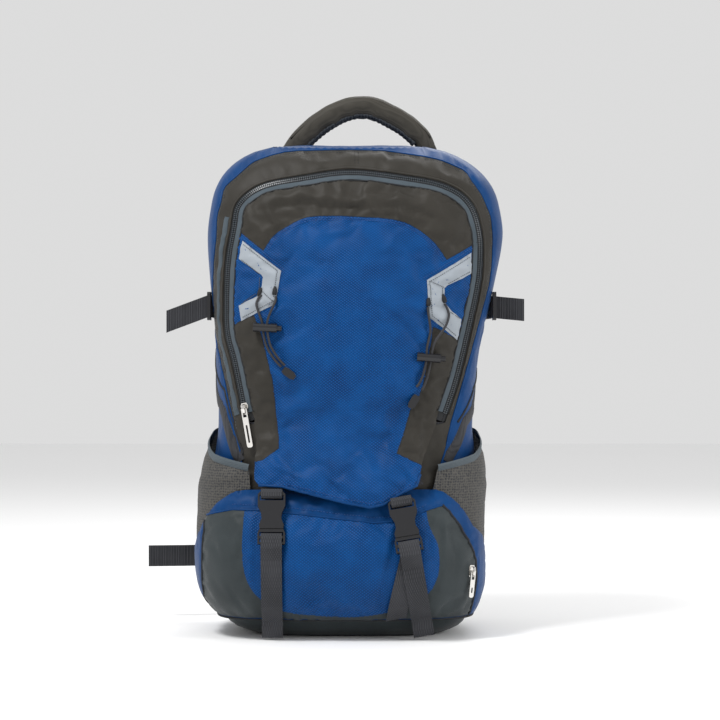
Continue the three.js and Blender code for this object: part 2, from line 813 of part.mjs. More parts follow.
// ---- Shoulder straps, adjusters and lower webbing ----
const shoulderOutline = [
  [24, 486],
  [30, 440],
  [44, 380],
  [54, 320],
  [56, 270],
  [56, 222],
  [100, 222],
  [106, 270],
  [108, 320],
  [102, 380],
  [90, 440],
  [84, 486],
];
const shoulderSide = curvePoints(
  [[112, 490], [130, 476], [143, 440], [148, 380], [146, 310], [138, 250], [131, 215]],
  16,
);
const adjuster = { x: 78, y: 133, z: 202, turn: 0.5 };
for (const { name, sign } of sides) {
  const outline = shoulderOutline.map(([x, z]) => [x * sign, z]);
  if (sign < 0) outline.reverse();
  const reach = sign < 0 ? [-130, -10] : [10, 130];
  const pad = solid(prismX(band(shoulderSide, 11), ...reach));
  add(
    `shoulder_strap_${name}`,
    geometryOf(pad.intersect(solid(prismY(shapeOf(outline), 90, 200)))),
    grey,
  );
  const group = new THREE.Group();
  group.position.set(adjuster.x * sign, adjuster.y, adjuster.z);
  group.rotation.set(0, -adjuster.turn * sign, 0);
  pack.add(group);
  add(`strap_adjuster_${name}`, ladderLock(), black, group);
  const strap = band(
    [[-28, -64], [-21, -46], [-11, -27], [-5, -16], [-3.2, -10], [-3.2, 0], [-2.9, 2.8], [-1.4, 5], [1.4, 5],
      [2.9, 2.8], [3.2, 0], [3.4, -12], [4, -30], [3, -50]],
    webbingThickness,
  );
  add(`strap_webbing_${name}`, prismX(strap, -webbingWidth / 2, webbingWidth / 2), webbing, group);
}

// ---- Load lifters: from the top seam back to the shoulder straps ----
for (const { name, sign } of sides) {
  const path = [[80, 560], [96, 553], [112, 538], [126, 514], [136, 492], [142, 474]];
  const middle = handle.x + 45 * sign;
  const strap = solid(
    prismX(band(path, webbingThickness), middle - 10, middle + 10),
  );
  add(`load_lifter_${name}`, geometryOf(strap.subtract(bagClear)), webbing);
}

// ---- Hip belt: padded wings, webbing and an open side-release buckle ----
const wing = { hinge: 56, tip: 150, near: backFace, thickness: 11 };
const wingOutline = [
  [wing.hinge, 46],
  [100, 48],
  [142, 58],
  [wing.tip, 65],
  [wing.tip, 87],
  [142, 96],
  [100, 118],
  [wing.hinge, 130],
];
const beltZ = 75;
const beltBuckleX = 115;
for (const { name, sign } of sides) {
  const outline = wingOutline.map(([x, z]) => [x * sign, z]);
  if (sign < 0) outline.reverse();
  add(
    `hip_wing_${name}`,
    prismY(shapeOf(outline), wing.near, wing.near + wing.thickness),
    grey,
  );
  const far = wing.near + wing.thickness;
  const buckleY = far + 9;
  const plugTurn = [[20, -5.2], [10, -5.2], [7.4, -4.9], [6, -3.4], [6, 3.4], [7.4, 4.9], [10, 5.2],
    [24, 5.2], [50, 3], [80, -4], [121, -9]];
  const socketTurn = [[18, -6.2], [2, -6.2], [-1.5, -5.9], [-4.6, -5.2], [-6.4, -3], [-6.4, 3], [-4.6, 5.2],
    [-1.5, 5.9], [2, 6.2], [14, 6.2], [26, 5]];
  const path = [
    [148, far + 1.2],
    [140, far + 1.5],
    ...(sign < 0 ? plugTurn : socketTurn).map(([x, y]) => [beltBuckleX + x, buckleY + y]),
  ].map(([x, y]) => [x * sign, y]);
  add(
    `hip_webbing_${name}`,
    prismZ(band(path, webbingThickness), beltZ - 12.5, beltZ + 12.5),
    webbing,
  );
  const group = new THREE.Group();
  group.position.set(sign * beltBuckleX, buckleY, beltZ);
  group.rotation.set(0, (-sign * Math.PI) / 2, 0);
  pack.add(group);
  if (sign < 0) {
    add("hip_buckle_plug", bucklePlug(), black, group);
  } else {
    const socket = add("hip_buckle_socket", buckleSocket(), black, group);
    socket.rotation.set(0, Math.PI, 0);
    socket.position.set(0, 0, 40);
  }
}

export default pack;
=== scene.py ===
"""A hiking daypack: sewn fabric panels, zips, webbing and padding over its CAD frame.

Shapes are worked out in millimetres and turned into metres when a mesh is made.
"""

import math

import bmesh
import bpy
import numpy as np
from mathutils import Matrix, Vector, noise
from mathutils.bvhtree import BVHTree
from mathutils.geometry import delaunay_2d_cdt


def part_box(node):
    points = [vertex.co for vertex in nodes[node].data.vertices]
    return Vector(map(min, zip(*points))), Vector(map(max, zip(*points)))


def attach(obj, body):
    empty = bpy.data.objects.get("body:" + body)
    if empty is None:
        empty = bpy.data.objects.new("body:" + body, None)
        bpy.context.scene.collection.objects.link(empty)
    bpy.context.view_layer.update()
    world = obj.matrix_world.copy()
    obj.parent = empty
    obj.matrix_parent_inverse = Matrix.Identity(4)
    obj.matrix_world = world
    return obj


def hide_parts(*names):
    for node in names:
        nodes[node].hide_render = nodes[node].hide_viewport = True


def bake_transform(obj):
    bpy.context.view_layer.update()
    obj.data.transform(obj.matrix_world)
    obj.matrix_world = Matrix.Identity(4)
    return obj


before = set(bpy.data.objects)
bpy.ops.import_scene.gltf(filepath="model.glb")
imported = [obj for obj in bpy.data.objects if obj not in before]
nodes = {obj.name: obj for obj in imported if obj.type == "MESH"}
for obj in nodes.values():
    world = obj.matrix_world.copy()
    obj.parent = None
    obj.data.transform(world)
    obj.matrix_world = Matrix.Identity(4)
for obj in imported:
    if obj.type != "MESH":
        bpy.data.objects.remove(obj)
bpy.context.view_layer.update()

MM = 0.001
FRONT_ROUNDNESS = 3.2
BACK_ROUNDNESS = 5
BAG_TOP = 552
POCKET_BACK = -25
BACK_SEAM_Y = 82
HANDLE_Y = 76
SIM_FRAMES = 14
SIDES = ("left", "right")
SIGNED_SIDES = (("left", -1), ("right", 1))

# ---- The bag's sections: height, half width, middle x, depth in front, depth behind ----
BAG_ROWS = [
    [0, 104, 4, 62, 84],
    [10, 126, 2, 80, 94],
    [22, 139, 0, 90, 98],
    [50, 155, -4, 100, 102],
    [90, 159, -6, 104, 104],
    [140, 157, -5, 102, 104],
    [175, 151, -3, 98, 104],
    [205, 146, -1, 100, 104],
    [240, 144, 0, 106, 104],
    [300, 147, 2, 112, 104],
    [350, 152, 5, 112, 104],
    [400, 160, 8, 109, 104],
    [450, 166, 11, 103, 104],
    [480, 163, 11, 97, 104],
    [505, 156, 10, 89, 103],
    [525, 141, 8, 78, 99],
    [540, 118, 6, 63, 92],
    [552, 84, 4, 42, 74],
]
POCKET_ROWS = [
    [22, 4.5, 101],
    [32, 4.5, 114],
    [46, 4.5, 125],
    [70, 4.5, 134],
    [95, 4.5, 137],
    [120, 4.5, 134],
    [140, 4.5, 127],
    [155, 4.5, 118],
    [166, 4.5, 107],
]
APRON_ROWS = [[145, 135], [160, 131], [180, 124], [200, 117], [220, 112], [240, 108], [252, 108]]
MESH_ROWS = [[28, 3.5, 3], [100, 3.5, 3], [150, 6, 5], [175, 11, 7], [195, 12, 8], [212, 9, 8], [234, 5, 7]]


def rows_at(rows, z):
    """Catmull-Rom through the rows: one value for each column after the first."""
    rows = np.asarray(rows, float)
    level = min(max(z, rows[0, 0]), rows[-1, 0])
    i = int(np.clip(np.searchsorted(rows[:, 0], level) - 1, 0, len(rows) - 2))
    span = rows[i + 1, 0] - rows[i, 0]
    t = (level - rows[i, 0]) / span

    def slope(k):
        low, high = rows[max(0, k - 1)], rows[min(len(rows) - 1, k + 1)]
        return (high[1:] - low[1:]) / (high[0] - low[0]) * span

    start, end, rise = slope(i), slope(i + 1), rows[i + 1, 1:] - rows[i, 1:]
    return (
        rows[i, 1:] + start * t + (3 * rise - 2 * start - end) * t**2
        + (start + end - 2 * rise) * t**3
    )


def smooth(t):
    t = np.clip(t, 0, 1)
    return t * t * (3 - 2 * t)


def rise(y, level):
    """How much higher a point of the bag stands than its level: the back is taller than the front."""
    return 0.1 * y * smooth((level - 300) / 252)


def bag_section(z):
    return rows_at(BAG_ROWS, z)


def pocket_section(z):
    width, middle, front, back = rows_at(BAG_ROWS, z)
    extra, front = rows_at(POCKET_ROWS, z)
    return width + extra, middle, front, back


def panel_section(z):
    """The flap above the hinge, and the apron that hangs forward below it."""
    width, middle, front, back = rows_at(BAG_ROWS, z)
    hang = rows_at(APRON_ROWS, z)[0]
    return width, middle, front + (hang - front) * smooth((252 - z) / 12), back


def mesh_section(z):
    width, middle, front, back = rows_at(BAG_ROWS, z)
    extra, proud = rows_at(MESH_ROWS, z)
    return width + extra, middle, front + proud, back - 4


class Skin:
    """A surface of superellipse sections.

    A place on it is an arc length from the front's middle, and a level.
    """

    STEP = 2.0

    def __init__(self, section, low, high):
        self.low = low
        self.tables = []
        angle = np.linspace(-math.pi / 2, math.pi / 2, 181)
        shrink, lean = np.clip(np.cos(angle), 0, 1), np.sin(angle)
        for level in np.arange(low, high + 0.5 * self.STEP, self.STEP):
            width, middle, front, back = section(level)
            power = np.where(angle < 0, 2 / FRONT_ROUNDNESS, 2 / BACK_ROUNDNESS)
            across = width * shrink**power
            y = np.where(angle < 0, front, back) * np.sign(lean) * np.abs(lean) ** power
            arc = np.concatenate([[0], np.cumsum(np.hypot(np.diff(across), np.diff(y)))])
            self.tables.append((arc, across, y, middle))

    def at(self, s, level):
        s, level = np.asarray(s, float), np.asarray(level, float)
        place = np.clip((level - self.low) / self.STEP, 0, len(self.tables) - 1.001)
        row = place.astype(int)
        part = place - row
        points = np.zeros((len(s), 3))
        for k in np.unique(row):
            here = row == k
            for table, weight in ((self.tables[k], 1 - part[here]), (self.tables[k + 1], part[here])):
                arc, across, y, middle = table
                points[here, 0] += weight * (middle + np.sign(s[here]) * np.interp(abs(s[here]), arc, across))
                points[here, 1] += weight * np.interp(abs(s[here]), arc, y)
        points[:, 2] = level + rise(points[:, 1], level)
        return points

    def normal(self, s, level):
        s, level = np.asarray(s, float), np.asarray(level, float)
        along = self.at(s + 3, level) - self.at(s - 3, level)
        up = self.at(s, level + 3) - self.at(s, level - 3)
        out = np.cross(along, up)
        return out / np.maximum(np.linalg.norm(out, axis=1, keepdims=True), 1e-9)

    def half(self, level):
        """The arc length from the front's middle to the back's."""
        row = int(np.clip((level - self.low) / self.STEP, 0, len(self.tables) - 1))
        return self.tables[row][0][-1]

    def front(self, points):
        """Places on the front from x and z."""
        places = []
        for x, z in points:
            level = z
            for _ in range(4):
                row = int(np.clip(round((level - self.low) / self.STEP), 0, len(self.tables) - 1))
                arc, across, y, middle = self.tables[row]
                s = np.interp(abs(x - middle), across[:91], arc[:91])
                level = z - rise(np.interp(s, arc, y), level)
            places.append((math.copysign(s, x - middle), level))
        return places

    def side(self, points, sign):
        """Places on one side from y and z."""
        places = []
        for y, z in points:
            level = z - rise(y, z)
            row = int(np.clip(round((level - self.low) / self.STEP), 0, len(self.tables) - 1))
            arc, across, depth, middle = self.tables[row]
            places.append((sign * np.interp(y, depth, arc), level))
        return places


BAG = Skin(bag_section, 0, BAG_TOP)
POCKET = Skin(pocket_section, 22, 166)
PANEL = Skin(panel_section, 146, BAG_TOP)
MESH = Skin(mesh_section, 28, 234)


# ---- Lines and outlines ----
def dense(points, spacing, closed=False):
    """The same line with points no further apart than the spacing."""
    points = [tuple(p) for p in points]
    ends = points[1:] + points[:1] if closed else points[1:]
    out = []
    for a, b in zip(points, ends):
        count = max(1, math.ceil(math.dist(a, b) / spacing))
        out += [tuple(np.add(a, np.subtract(b, a) * (k / count))) for k in range(count)]
    return out if closed else [*out, points[-1]]


def curve(points, spacing):
    """An even smooth line through the points."""
    p = np.array([2 * np.array(points[0]) - points[1], *points, 2 * np.array(points[-1]) - points[-2]], float)
    fine = []
    for i in range(1, len(p) - 2):
        for t in np.linspace(0, 1, 16, endpoint=False):
            a, b, c, d = p[i - 1 : i + 3]
            fine.append(
                0.5 * (2 * b + (c - a) * t + (2 * a - 5 * b + 4 * c - d) * t**2
                       + (3 * b - a - 3 * c + d) * t**3)
            )
    fine = np.array([*fine, p[-2]])
    arc = np.concatenate([[0], np.cumsum(np.linalg.norm(np.diff(fine, axis=0), axis=1))])
    even = np.linspace(0, arc[-1], max(2, round(arc[-1] / spacing)) + 1)
    return np.stack([np.interp(even, arc, fine[:, k]) for k in range(fine.shape[1])], axis=1)


def shift(points, distance):
    """The line moved sideways, to the left of its direction."""
    points = np.asarray(points, float)
    ahead = np.vstack([points[1:], points[-1:]]) - np.vstack([points[:1], points[:-1]])
    ahead /= np.linalg.norm(ahead, axis=1, keepdims=True)
    return points + distance * np.stack([-ahead[:, 1], ahead[:, 0]], axis=1)


def inside(polygon, points):
    """Whether each point lies in the polygon."""
    polygon, points = np.asarray(polygon, float), np.asarray(points, float)
    found = np.zeros(len(points), bool)
    x, y = points[:, 0], points[:, 1]
    for (ax, ay), (bx, by) in zip(polygon, np.roll(polygon, -1, axis=0)):
        crosses = (ay > y) != (by > y)
        at = ax + (y - ay) * (bx - ax) / ((by - ay) or 1e-12)
        found ^= crosses & (x < at)
    return found


def distance_to(points, line):
    """The distance from each point to the nearest of a line's points."""
    line = np.asarray(line, float)
    best = np.full(len(points), 1e9)
    for k in range(0, len(line), 64):
        gap = points[:, None, :] - line[None, k : k + 64, :]
        best = np.minimum(best, np.sqrt((gap**2).sum(2)).min(1))
    return best


# ---- Materials ----
MOTTLE = 3.0
WEAVE_DEPTH = 0.0006


def material(name, colour, roughness, metallic=0.0):
    made = bpy.data.materials.new(name)
    made.use_nodes = True
    shader = made.node_tree.nodes["Principled BSDF"]
    shader.inputs["Base Color"].default_value = (*colour, 1)
    shader.inputs["Roughness"].default_value = roughness
    shader.inputs["Metallic"].default_value = metallic
    return made


def add_node(tree, kind, **values):
    """A shader node with the named inputs set."""
    made = tree.nodes.new(f"ShaderNode{kind}")
    for name, value in values.items():
        made.inputs[name].default_value = value
    return made


def coloured(tree, source, low, high):
    """Leads the source through a ramp to the surface's colour. Low and high are each a position and a colour."""
    ramp = add_node(tree, "ValToRGB")
    for element, (position, colour) in zip(ramp.color_ramp.elements, (low, high)):
        element.position = position
        element.color = (*colour, 1)
    tree.links.new(source, ramp.inputs["Fac"])
    tree.links.new(ramp.outputs["Color"], tree.nodes["Principled BSDF"].inputs["Base Color"])


def embossed(tree, source, distance, strength=1.0):
    """Leads the source to the surface as a relief, with its depth in metres."""
    relief = add_node(tree, "Bump", Strength=strength, Distance=distance)
    tree.links.new(source, relief.inputs["Height"])
    tree.links.new(relief.outputs["Normal"], tree.nodes["Principled BSDF"].inputs["Normal"])


def textured(name, dark, light, roughness, pattern="plain", pitch=1.0, bump=0.3, coords="UV"):
    """Cloth with a slight mottle and a woven relief. The pitch is in millimetres."""
    made = material(name, light, roughness)
    tree = made.node_tree
    shader = tree.nodes["Principled BSDF"]
    shader.inputs["Sheen Weight"].default_value = 0.04
    shader.inputs["Specular IOR Level"].default_value = 0.12
    place = add_node(tree, "TexCoord")
    scale = add_node(tree, "Mapping", Scale=(1, 1, 1) if coords == "UV" else (10, 10, 10))
    tree.links.new(place.outputs[coords], scale.inputs["Vector"])

    def waves(turn):
        angle = add_node(tree, "Mapping", Rotation=(0, 0, math.radians(turn)))
        tree.links.new(scale.outputs["Vector"], angle.inputs["Vector"])
        wave = add_node(tree, "TexWave", Scale=math.pi * 10 / pitch)
        wave.wave_profile = "SIN"
        tree.links.new(angle.outputs["Vector"], wave.inputs["Vector"])
        return wave.outputs["Fac"]

    def combined(operation, first, second):
        join = add_node(tree, "Math")
        join.operation = operation
        join.use_clamp = operation == "ADD"
        tree.links.new(first, join.inputs[0])
        tree.links.new(second, join.inputs[1])
        return join.outputs["Value"]

    cloud = add_node(tree, "TexNoise", Scale=MOTTLE, Detail=6)
    tree.links.new(scale.outputs["Vector"], cloud.inputs["Vector"])
    turns = (52, -52) if pattern == "diamond" else (0, 90)
    weave = combined("MULTIPLY", waves(turns[0]), waves(turns[1]))
    coloured(tree, combined("ADD", cloud.outputs["Fac"], weave), (0.35, dark), (1.0, light))
    embossed(tree, weave, WEAVE_DEPTH, bump)
    return made


BLUE = textured("blue_weave", (0.0, 0.024, 0.1), (0.0, 0.063, 0.235), 0.42, "diamond", 2.4, 0.6)
BLUE_PLAIN = textured("blue_plain", (0.0, 0.025, 0.1), (0.0, 0.046, 0.17), 0.45, "plain", 0.9, 0.15)
GREY = textured("grey_cloth", (0.025, 0.023, 0.0195), (0.039, 0.0355, 0.03), 0.45, "plain", 0.9, 0.2)
GREY_COOL = textured("grey_cool", (0.025, 0.031, 0.033), (0.043, 0.052, 0.055), 0.42, "plain", 0.9, 0.2)
BACK_CLOTH = textured("back_cloth", (0.03, 0.03, 0.032), (0.06, 0.06, 0.062), 0.7, "diamond", 2.4, 0.6)
LINING = textured("lining_cloth", (0.02, 0.02, 0.024), (0.04, 0.04, 0.045), 0.7, coords="Object")
WEBBING = textured("webbing_weave", (0.024, 0.025, 0.028), (0.05, 0.051, 0.057), 0.6, "diamond", 1.6, 0.6,
                   coords="Object")
PAD = textured("pad_cloth", (0.02, 0.024, 0.03), (0.045, 0.05, 0.058), 0.8, "diamond", 2.2, 1.0,
               coords="Object")
GREY_OBJECT = textured("grey_cloth_pad", (0.038, 0.035, 0.029), (0.058, 0.053, 0.044), 0.5, coords="Object")
TAPE = textured("tape_weave", (0.042, 0.058, 0.07), (0.08, 0.1, 0.118), 0.7, "plain", 1.1, 0.4)
BINDING = textured("binding_weave", (0.06, 0.075, 0.085), (0.1, 0.12, 0.135), 0.7, "plain", 1.1, 0.4)
REFLECTIVE = textured("reflective_film", (0.26, 0.29, 0.32), (0.32, 0.35, 0.385), 0.4, "plain", 0.7, 0.1)
# Near-black, for thread, tape and edges, and also used as painted shade in seam grooves and in the gaps beside
# the side bands.
DARK = material("dark_thread_and_painted_shade", (0.008, 0.009, 0.011), 0.8)
COIL = material("coil_nylon", (0.05, 0.06, 0.07), 0.35)
THREAD_BLUE = material("blue_thread", (0.006, 0.05, 0.2), 0.6)
THREAD_GREY = material("grey_thread", (0.05, 0.056, 0.062), 0.6)
PLASTIC = material("black_plastic", (0.009, 0.009, 0.011), 0.28)
CORD = material("black_cord", (0.012, 0.012, 0.015), 0.6)
CHROME = material("polished_zinc", (0.72, 0.7, 0.67), 0.22, 1.0)
SHEET = material("sheet_plastic", (0.55, 0.55, 0.55), 0.45)
ALUMINIUM = material("stay_metal", (0.7, 0.7, 0.72), 0.35, 1.0)


# ---- Meshes ----
def read(mesh, name="co"):
    """The mesh's corner points, or their normals, as rows."""
    values = np.zeros(len(mesh.vertices) * 3)
    mesh.vertices.foreach_get(name, values)
    return values.reshape(-1, 3)


def write(mesh, points):
    mesh.vertices.foreach_set("co", points.astype(np.float32).ravel())
    mesh.update()


def piece(name, points, faces, paint, slot, uv=None, paint_index=None):
    """A smooth mesh from millimetres. uv has one place for each point."""
    mesh = bpy.data.meshes.new(name)
    mesh.from_pydata([tuple(p) for p in np.asarray(points, float) * MM], [], [tuple(f) for f in faces])
    for m in paint if isinstance(paint, list) else [paint]:
        mesh.materials.append(m)
    if paint_index is not None:
        mesh.polygons.foreach_set("material_index", np.asarray(paint_index, np.int32))
    mesh.polygons.foreach_set("use_smooth", np.ones(len(mesh.polygons), bool))
    layer = mesh.uv_layers.new(name="cloth")
    corners = np.zeros(len(mesh.loops), np.int32)
    mesh.loops.foreach_get("vertex_index", corners)
    flat = np.asarray(points, float)[:, [0, 2]] if uv is None else np.asarray(uv, float)
    layer.data.foreach_set("uv", (flat[corners] * 0.01).astype(np.float32).ravel())
    mesh.update()
    made = bpy.data.objects.new(name, mesh)
    bpy.context.scene.collection.objects.link(made)
    return made


def merged(parts):
    """Several (points, faces) as one."""
    points, faces, count = [], [], 0
    for p, f in parts:
        points.append(np.asarray(p, float))
        faces += [[k + count for k in face] for face in f]
        count += len(p)
    return np.vstack(points), faces


def tube(line, radius, sides=6):
    """A round tube along a line in space, closed at both ends."""
    line = np.asarray(line, float)
    ahead = np.vstack([line[1:], line[-1:]]) - np.vstack([line[:1], line[:-1]])
    ahead /= np.maximum(np.linalg.norm(ahead, axis=1, keepdims=True), 1e-9)
    radii = np.broadcast_to(np.asarray(radius, float), (len(line),))
    side = np.cross(ahead[0], (0, 1, 0.03))
    points = []
    for p, t, r in zip(line, ahead, radii):
        side = side - t * (side @ t)
        side /= np.linalg.norm(side)
        other = np.cross(t, side)
        for k in range(sides):
            a = 2 * math.pi * k / sides
            points.append(p + r * (math.cos(a) * side + math.sin(a) * other))
    faces = []
    for i in range(len(line) - 1):
        for k in range(sides):
            a, b = i * sides + k, i * sides + (k + 1) % sides
            faces.append([a, b, b + sides, a + sides])
    faces.append(list(range(sides))[::-1])
    faces.append([(len(line) - 1) * sides + k for k in range(sides)])
    return points, faces


BRICK_FACES = [[0, 3, 2, 1], [4, 5, 6, 7], [0, 1, 5, 4], [1, 2, 6, 5], [2, 3, 7, 6], [3, 0, 4, 7]]


def grid_faces(rows, count):
    """Faces between neighbouring rows, each with the same count of points."""
    return [
        [k * count + i, (k + 1) * count + i, (k + 1) * count + i + 1, k * count + i + 1]
        for k in range(rows - 1) for i in range(count - 1)
    ]


def turned(faces):
    """The same faces seen from the other side."""
    return [face[::-1] for face in faces]


def bricks(centres, along, out, size):
    """A small box at each centre: its size is along the line, across it, and out of the cloth."""
    parts = []
    for c, t, n in zip(centres, along, out):
        t = t / np.linalg.norm(t)
        w = np.cross(n, t)
        corners = [
            c + t * size[0] * a / 2 + w * size[1] * b / 2 + n * size[2] * d
            for d in (-0.5, 0.5) for a, b in ((-1, -1), (1, -1), (1, 1), (-1, 1))
        ]
        parts.append((corners, BRICK_FACES))
    return merged(parts)


def triangulate(outline, loops, lines, spacing, seed, holes=()):
    """Triangles inside an outline, with every loop and line along their edges."""
    points, edges = [], []
    closed_lines = [(line, True) for line in (outline, *loops, *holes)]
    for line, closed in [*closed_lines, *[(line, False) for line in lines]]:
        fine = dense(line, spacing, closed)
        first = len(points)
        points += fine
        edges += [(first + k, first + k + 1) for k in range(len(fine) - 1)]
        if closed:
            edges.append((len(points) - 1, first))
    fixed = np.array(points)
    low, high = np.min(outline, axis=0), np.max(outline, axis=0)
    rng = np.random.default_rng(seed)
    grid = []
    for row, y in enumerate(np.arange(low[1], high[1], spacing * 0.87)):
        for x in np.arange(low[0] + (row % 2) * spacing / 2, high[0], spacing):
            grid.append((x, y))
    grid = np.array(grid) + rng.uniform(-0.18, 0.18, (len(grid), 2)) * spacing
    grid = grid[inside(outline, grid)]
    grid = grid[distance_to(grid, fixed) > 0.6 * spacing]
    every = [Vector(p) for p in [*fixed, *grid]]
    made = delaunay_2d_cdt(every, edges, [], 0, 1e-4)
    flat = np.array([tuple(v) for v in made[0]])
    faces = np.array(made[2])
    middle = flat[faces].mean(1)
    keep = inside(outline, middle)
    for hole in holes:
        keep &= ~inside(hole, middle)
    faces = faces[keep]
    a, b, c = (flat[faces[:, k]] for k in range(3))
    flipped = np.cross(b - a, c - a) < 0
    faces[flipped] = faces[flipped][:, ::-1]
    used = np.unique(faces)
    order = np.full(len(flat), -1)
    order[used] = np.arange(len(used))
    return flat[used], order[faces]


def ripple(points, size, seed):
    """Smooth seeded noise at each point. The size is in millimetres."""
    return np.array([noise.noise(Vector(p) / size + Vector((seed, seed * 1.7, -seed))) for p in points])


def ridge(places, line, width, height):
    """A fold along a line, in the cloth's own plane."""
    gap = distance_to(places, dense(line, 1.5))
    return height * np.exp(-((gap / width) ** 2))


def sewn(name, skin, outline, seams, patches, paint, slot, spacing=4.0, lift=1.2, puff=2.6, reach=14.0,
         folds=(), loops=(), holes=(), wrinkle=1.0, seed=1, stretch=(1.0, 1.0), grow=0.055, push=1.8, cap=6.0,
         free=False, flats=()):
    """A panel of cloth over a skin, pulled in at seams and patches' edges, and puffed out between."""
    edges = [patch[0] for patch in patches]
    flat, faces = triangulate(outline, [*loops, *edges], seams, spacing, seed, holes)
    base, out = skin.at(*flat.T), skin.normal(*flat.T)
    sewn_lines = [p for line in seams for p in dense(line, 2)]
    for loop in [outline, *loops, *edges, *holes]:
        sewn_lines += dense(loop, 2, True)
    gap = distance_to(flat, sewn_lines)
    height = lift + puff * (1 - np.exp(-gap / reach))
    room = smooth(gap / 9)
    scaled = base * (stretch[0], 1.0, stretch[1])
    height += wrinkle * room * (1.7 * ripple(scaled, 34, seed) + 1.0 * ripple(scaled, 15, seed + 3))
    height += wrinkle * room * 3.0 * (0.35 - np.abs(ripple(scaled, 27, seed + 5)))
    flank = 1 - 0.6 * np.abs(out[:, 0])
    height = lift + (height - lift) * flank
    for line, width, size in folds:
        height += 1.4 * ridge(flat, line, width, size) * np.clip(0.25 + gap / 6, 0, 1)
    limit = cap * flank
    for line, width in flats:
        limit = limit * (0.2 + 0.8 * smooth((distance_to(flat, dense(line, 3)) - width) / 8))
    height = np.clip(height, lift * 0.6, np.maximum(limit, lift * 0.8))
    index = np.zeros(len(faces), int)
    middle = flat[faces].mean(1)
    for k, (loop, number) in enumerate(patches):
        index[inside(loop, middle)] = number
    made = piece(name, base + out * height[:, None], faces, paint, slot, flat, index)
    if not free:
        billow(made, base, out, gap < 0.6, grow, push, limit)
    return made


def billow(obj, base, out, pinned, grow, push, cap):
    """Cloth that is cut a little large and pushed from inside, held along its seams."""
    group = obj.vertex_groups.new(name="sewn")
    group.add([int(k) for k in np.flatnonzero(pinned)], 1.0, "REPLACE")
    cloth = obj.modifiers.new("cloth", "CLOTH")
    settings = cloth.settings
    settings.quality = 6
    settings.mass = 0.25
    settings.tension_stiffness = 12
    settings.compression_stiffness = 12
    settings.shear_stiffness = 6
    settings.bending_stiffness = 0.12
    settings.vertex_group_mass = "sewn"
    settings.shrink_min = -grow
    settings.use_pressure = True
    settings.uniform_pressure_force = push
    settings.effector_weights.gravity = 0
    cloth.collision_settings.use_collision = False
    scene = bpy.context.scene
    cloth.point_cache.frame_start, cloth.point_cache.frame_end = 1, SIM_FRAMES
    for number in range(1, SIM_FRAMES + 1):
        scene.frame_set(number)
    shown = obj.evaluated_get(bpy.context.evaluated_depsgraph_get())
    moved = read(shown.data) / MM
    obj.modifiers.remove(cloth)
    scene.frame_set(1)
    offset = moved - base
    height = (offset * out).sum(1)
    slide = offset - out * height[:, None]
    length = np.linalg.norm(slide, axis=1)
    slide *= (np.minimum(length, 3) / np.maximum(length, 1e-9))[:, None]
    height = 0.5 + (cap - 0.5) * np.tanh(np.maximum(height - 0.5, 0) / (cap - 0.5))
    moved = base + slide + out * height[:, None]
    write(obj.data, moved * MM)


def tree_of(obj):
    """A search tree over a mesh, in millimetres."""
    points = [Vector(p) for p in read(obj.data) / MM]
    return BVHTree.FromPolygons(points, [list(f.vertices) for f in obj.data.polygons])


def lay(tree, skin, places, lift):
    """Points at the places, resting on the cloth with that much lift, and the directions out of it."""
    places = np.asarray(places, float)
    base, out = skin.at(*places.T), skin.normal(*places.T)
    points = []
    for p, n in zip(base, out):
        hit = tree.ray_cast(Vector(p + 16 * n), Vector(-n), 24)[0]
        height = (np.array(hit) - p) @ n if hit is not None else 1.5
        points.append(p + n * (max(height, 0.3) + lift))
    return np.array(points), out


def seam_tubes(name, tree, skin, lines, radius, paint, slot, lift=0.0, spacing=3.0):
    parts = []
    for line in lines:
        points, _ = lay(tree, skin, dense(line, spacing), lift)
        parts.append(tube(points, radius))
    return piece(name, *merged(parts), paint, slot)


def stitches(name, tree, skin, lines, paint, slot, pitch=3.2, size=(2.0, 0.55, 0.6), lift=0.15):
    parts = []
    for line in lines:
        even = curve(dense(line, 6), pitch) if len(line) > 2 else np.array(dense(line, pitch))
        points, out = lay(tree, skin, even, lift)
        ahead = np.diff(points, axis=0)
        parts.append(bricks((points[1:] + points[:-1]) / 2, ahead, out[1:], size))
    return piece(name, *merged(parts), paint, slot)


def applique(name, tree, skin, outline, lift, paint, slot, spacing=3.0, seed=5):
    """A flat patch sewn onto the cloth."""
    flat, faces = triangulate(outline, [], [], spacing, seed)
    points, _ = lay(tree, skin, flat, lift)
    return piece(name, points, faces, paint, slot, flat)


def ribbon(name, tree, skin, line, width, paint, slot, lift=0.6, spacing=3.0, arch=0.5):
    """A strip of tape along a line of places."""
    line = np.array(dense(line, spacing))
    shares = (-1.0, -0.85, -0.3, 0.3, 0.85, 1.0)
    rows = []
    for share in shares:
        height = -lift if abs(share) == 1 else arch * (1 - share**2)
        points, _ = lay(tree, skin, shift(line, share * width / 2), lift + height)
        rows.append(points)
    count = len(line)
    faces = turned(grid_faces(len(rows), count))
    uv = np.vstack([np.stack([np.full(count, k * width / 5), np.arange(count) * spacing], axis=1)
                    for k in range(len(rows))])
    return piece(name, np.vstack(rows), faces, paint, slot, uv)


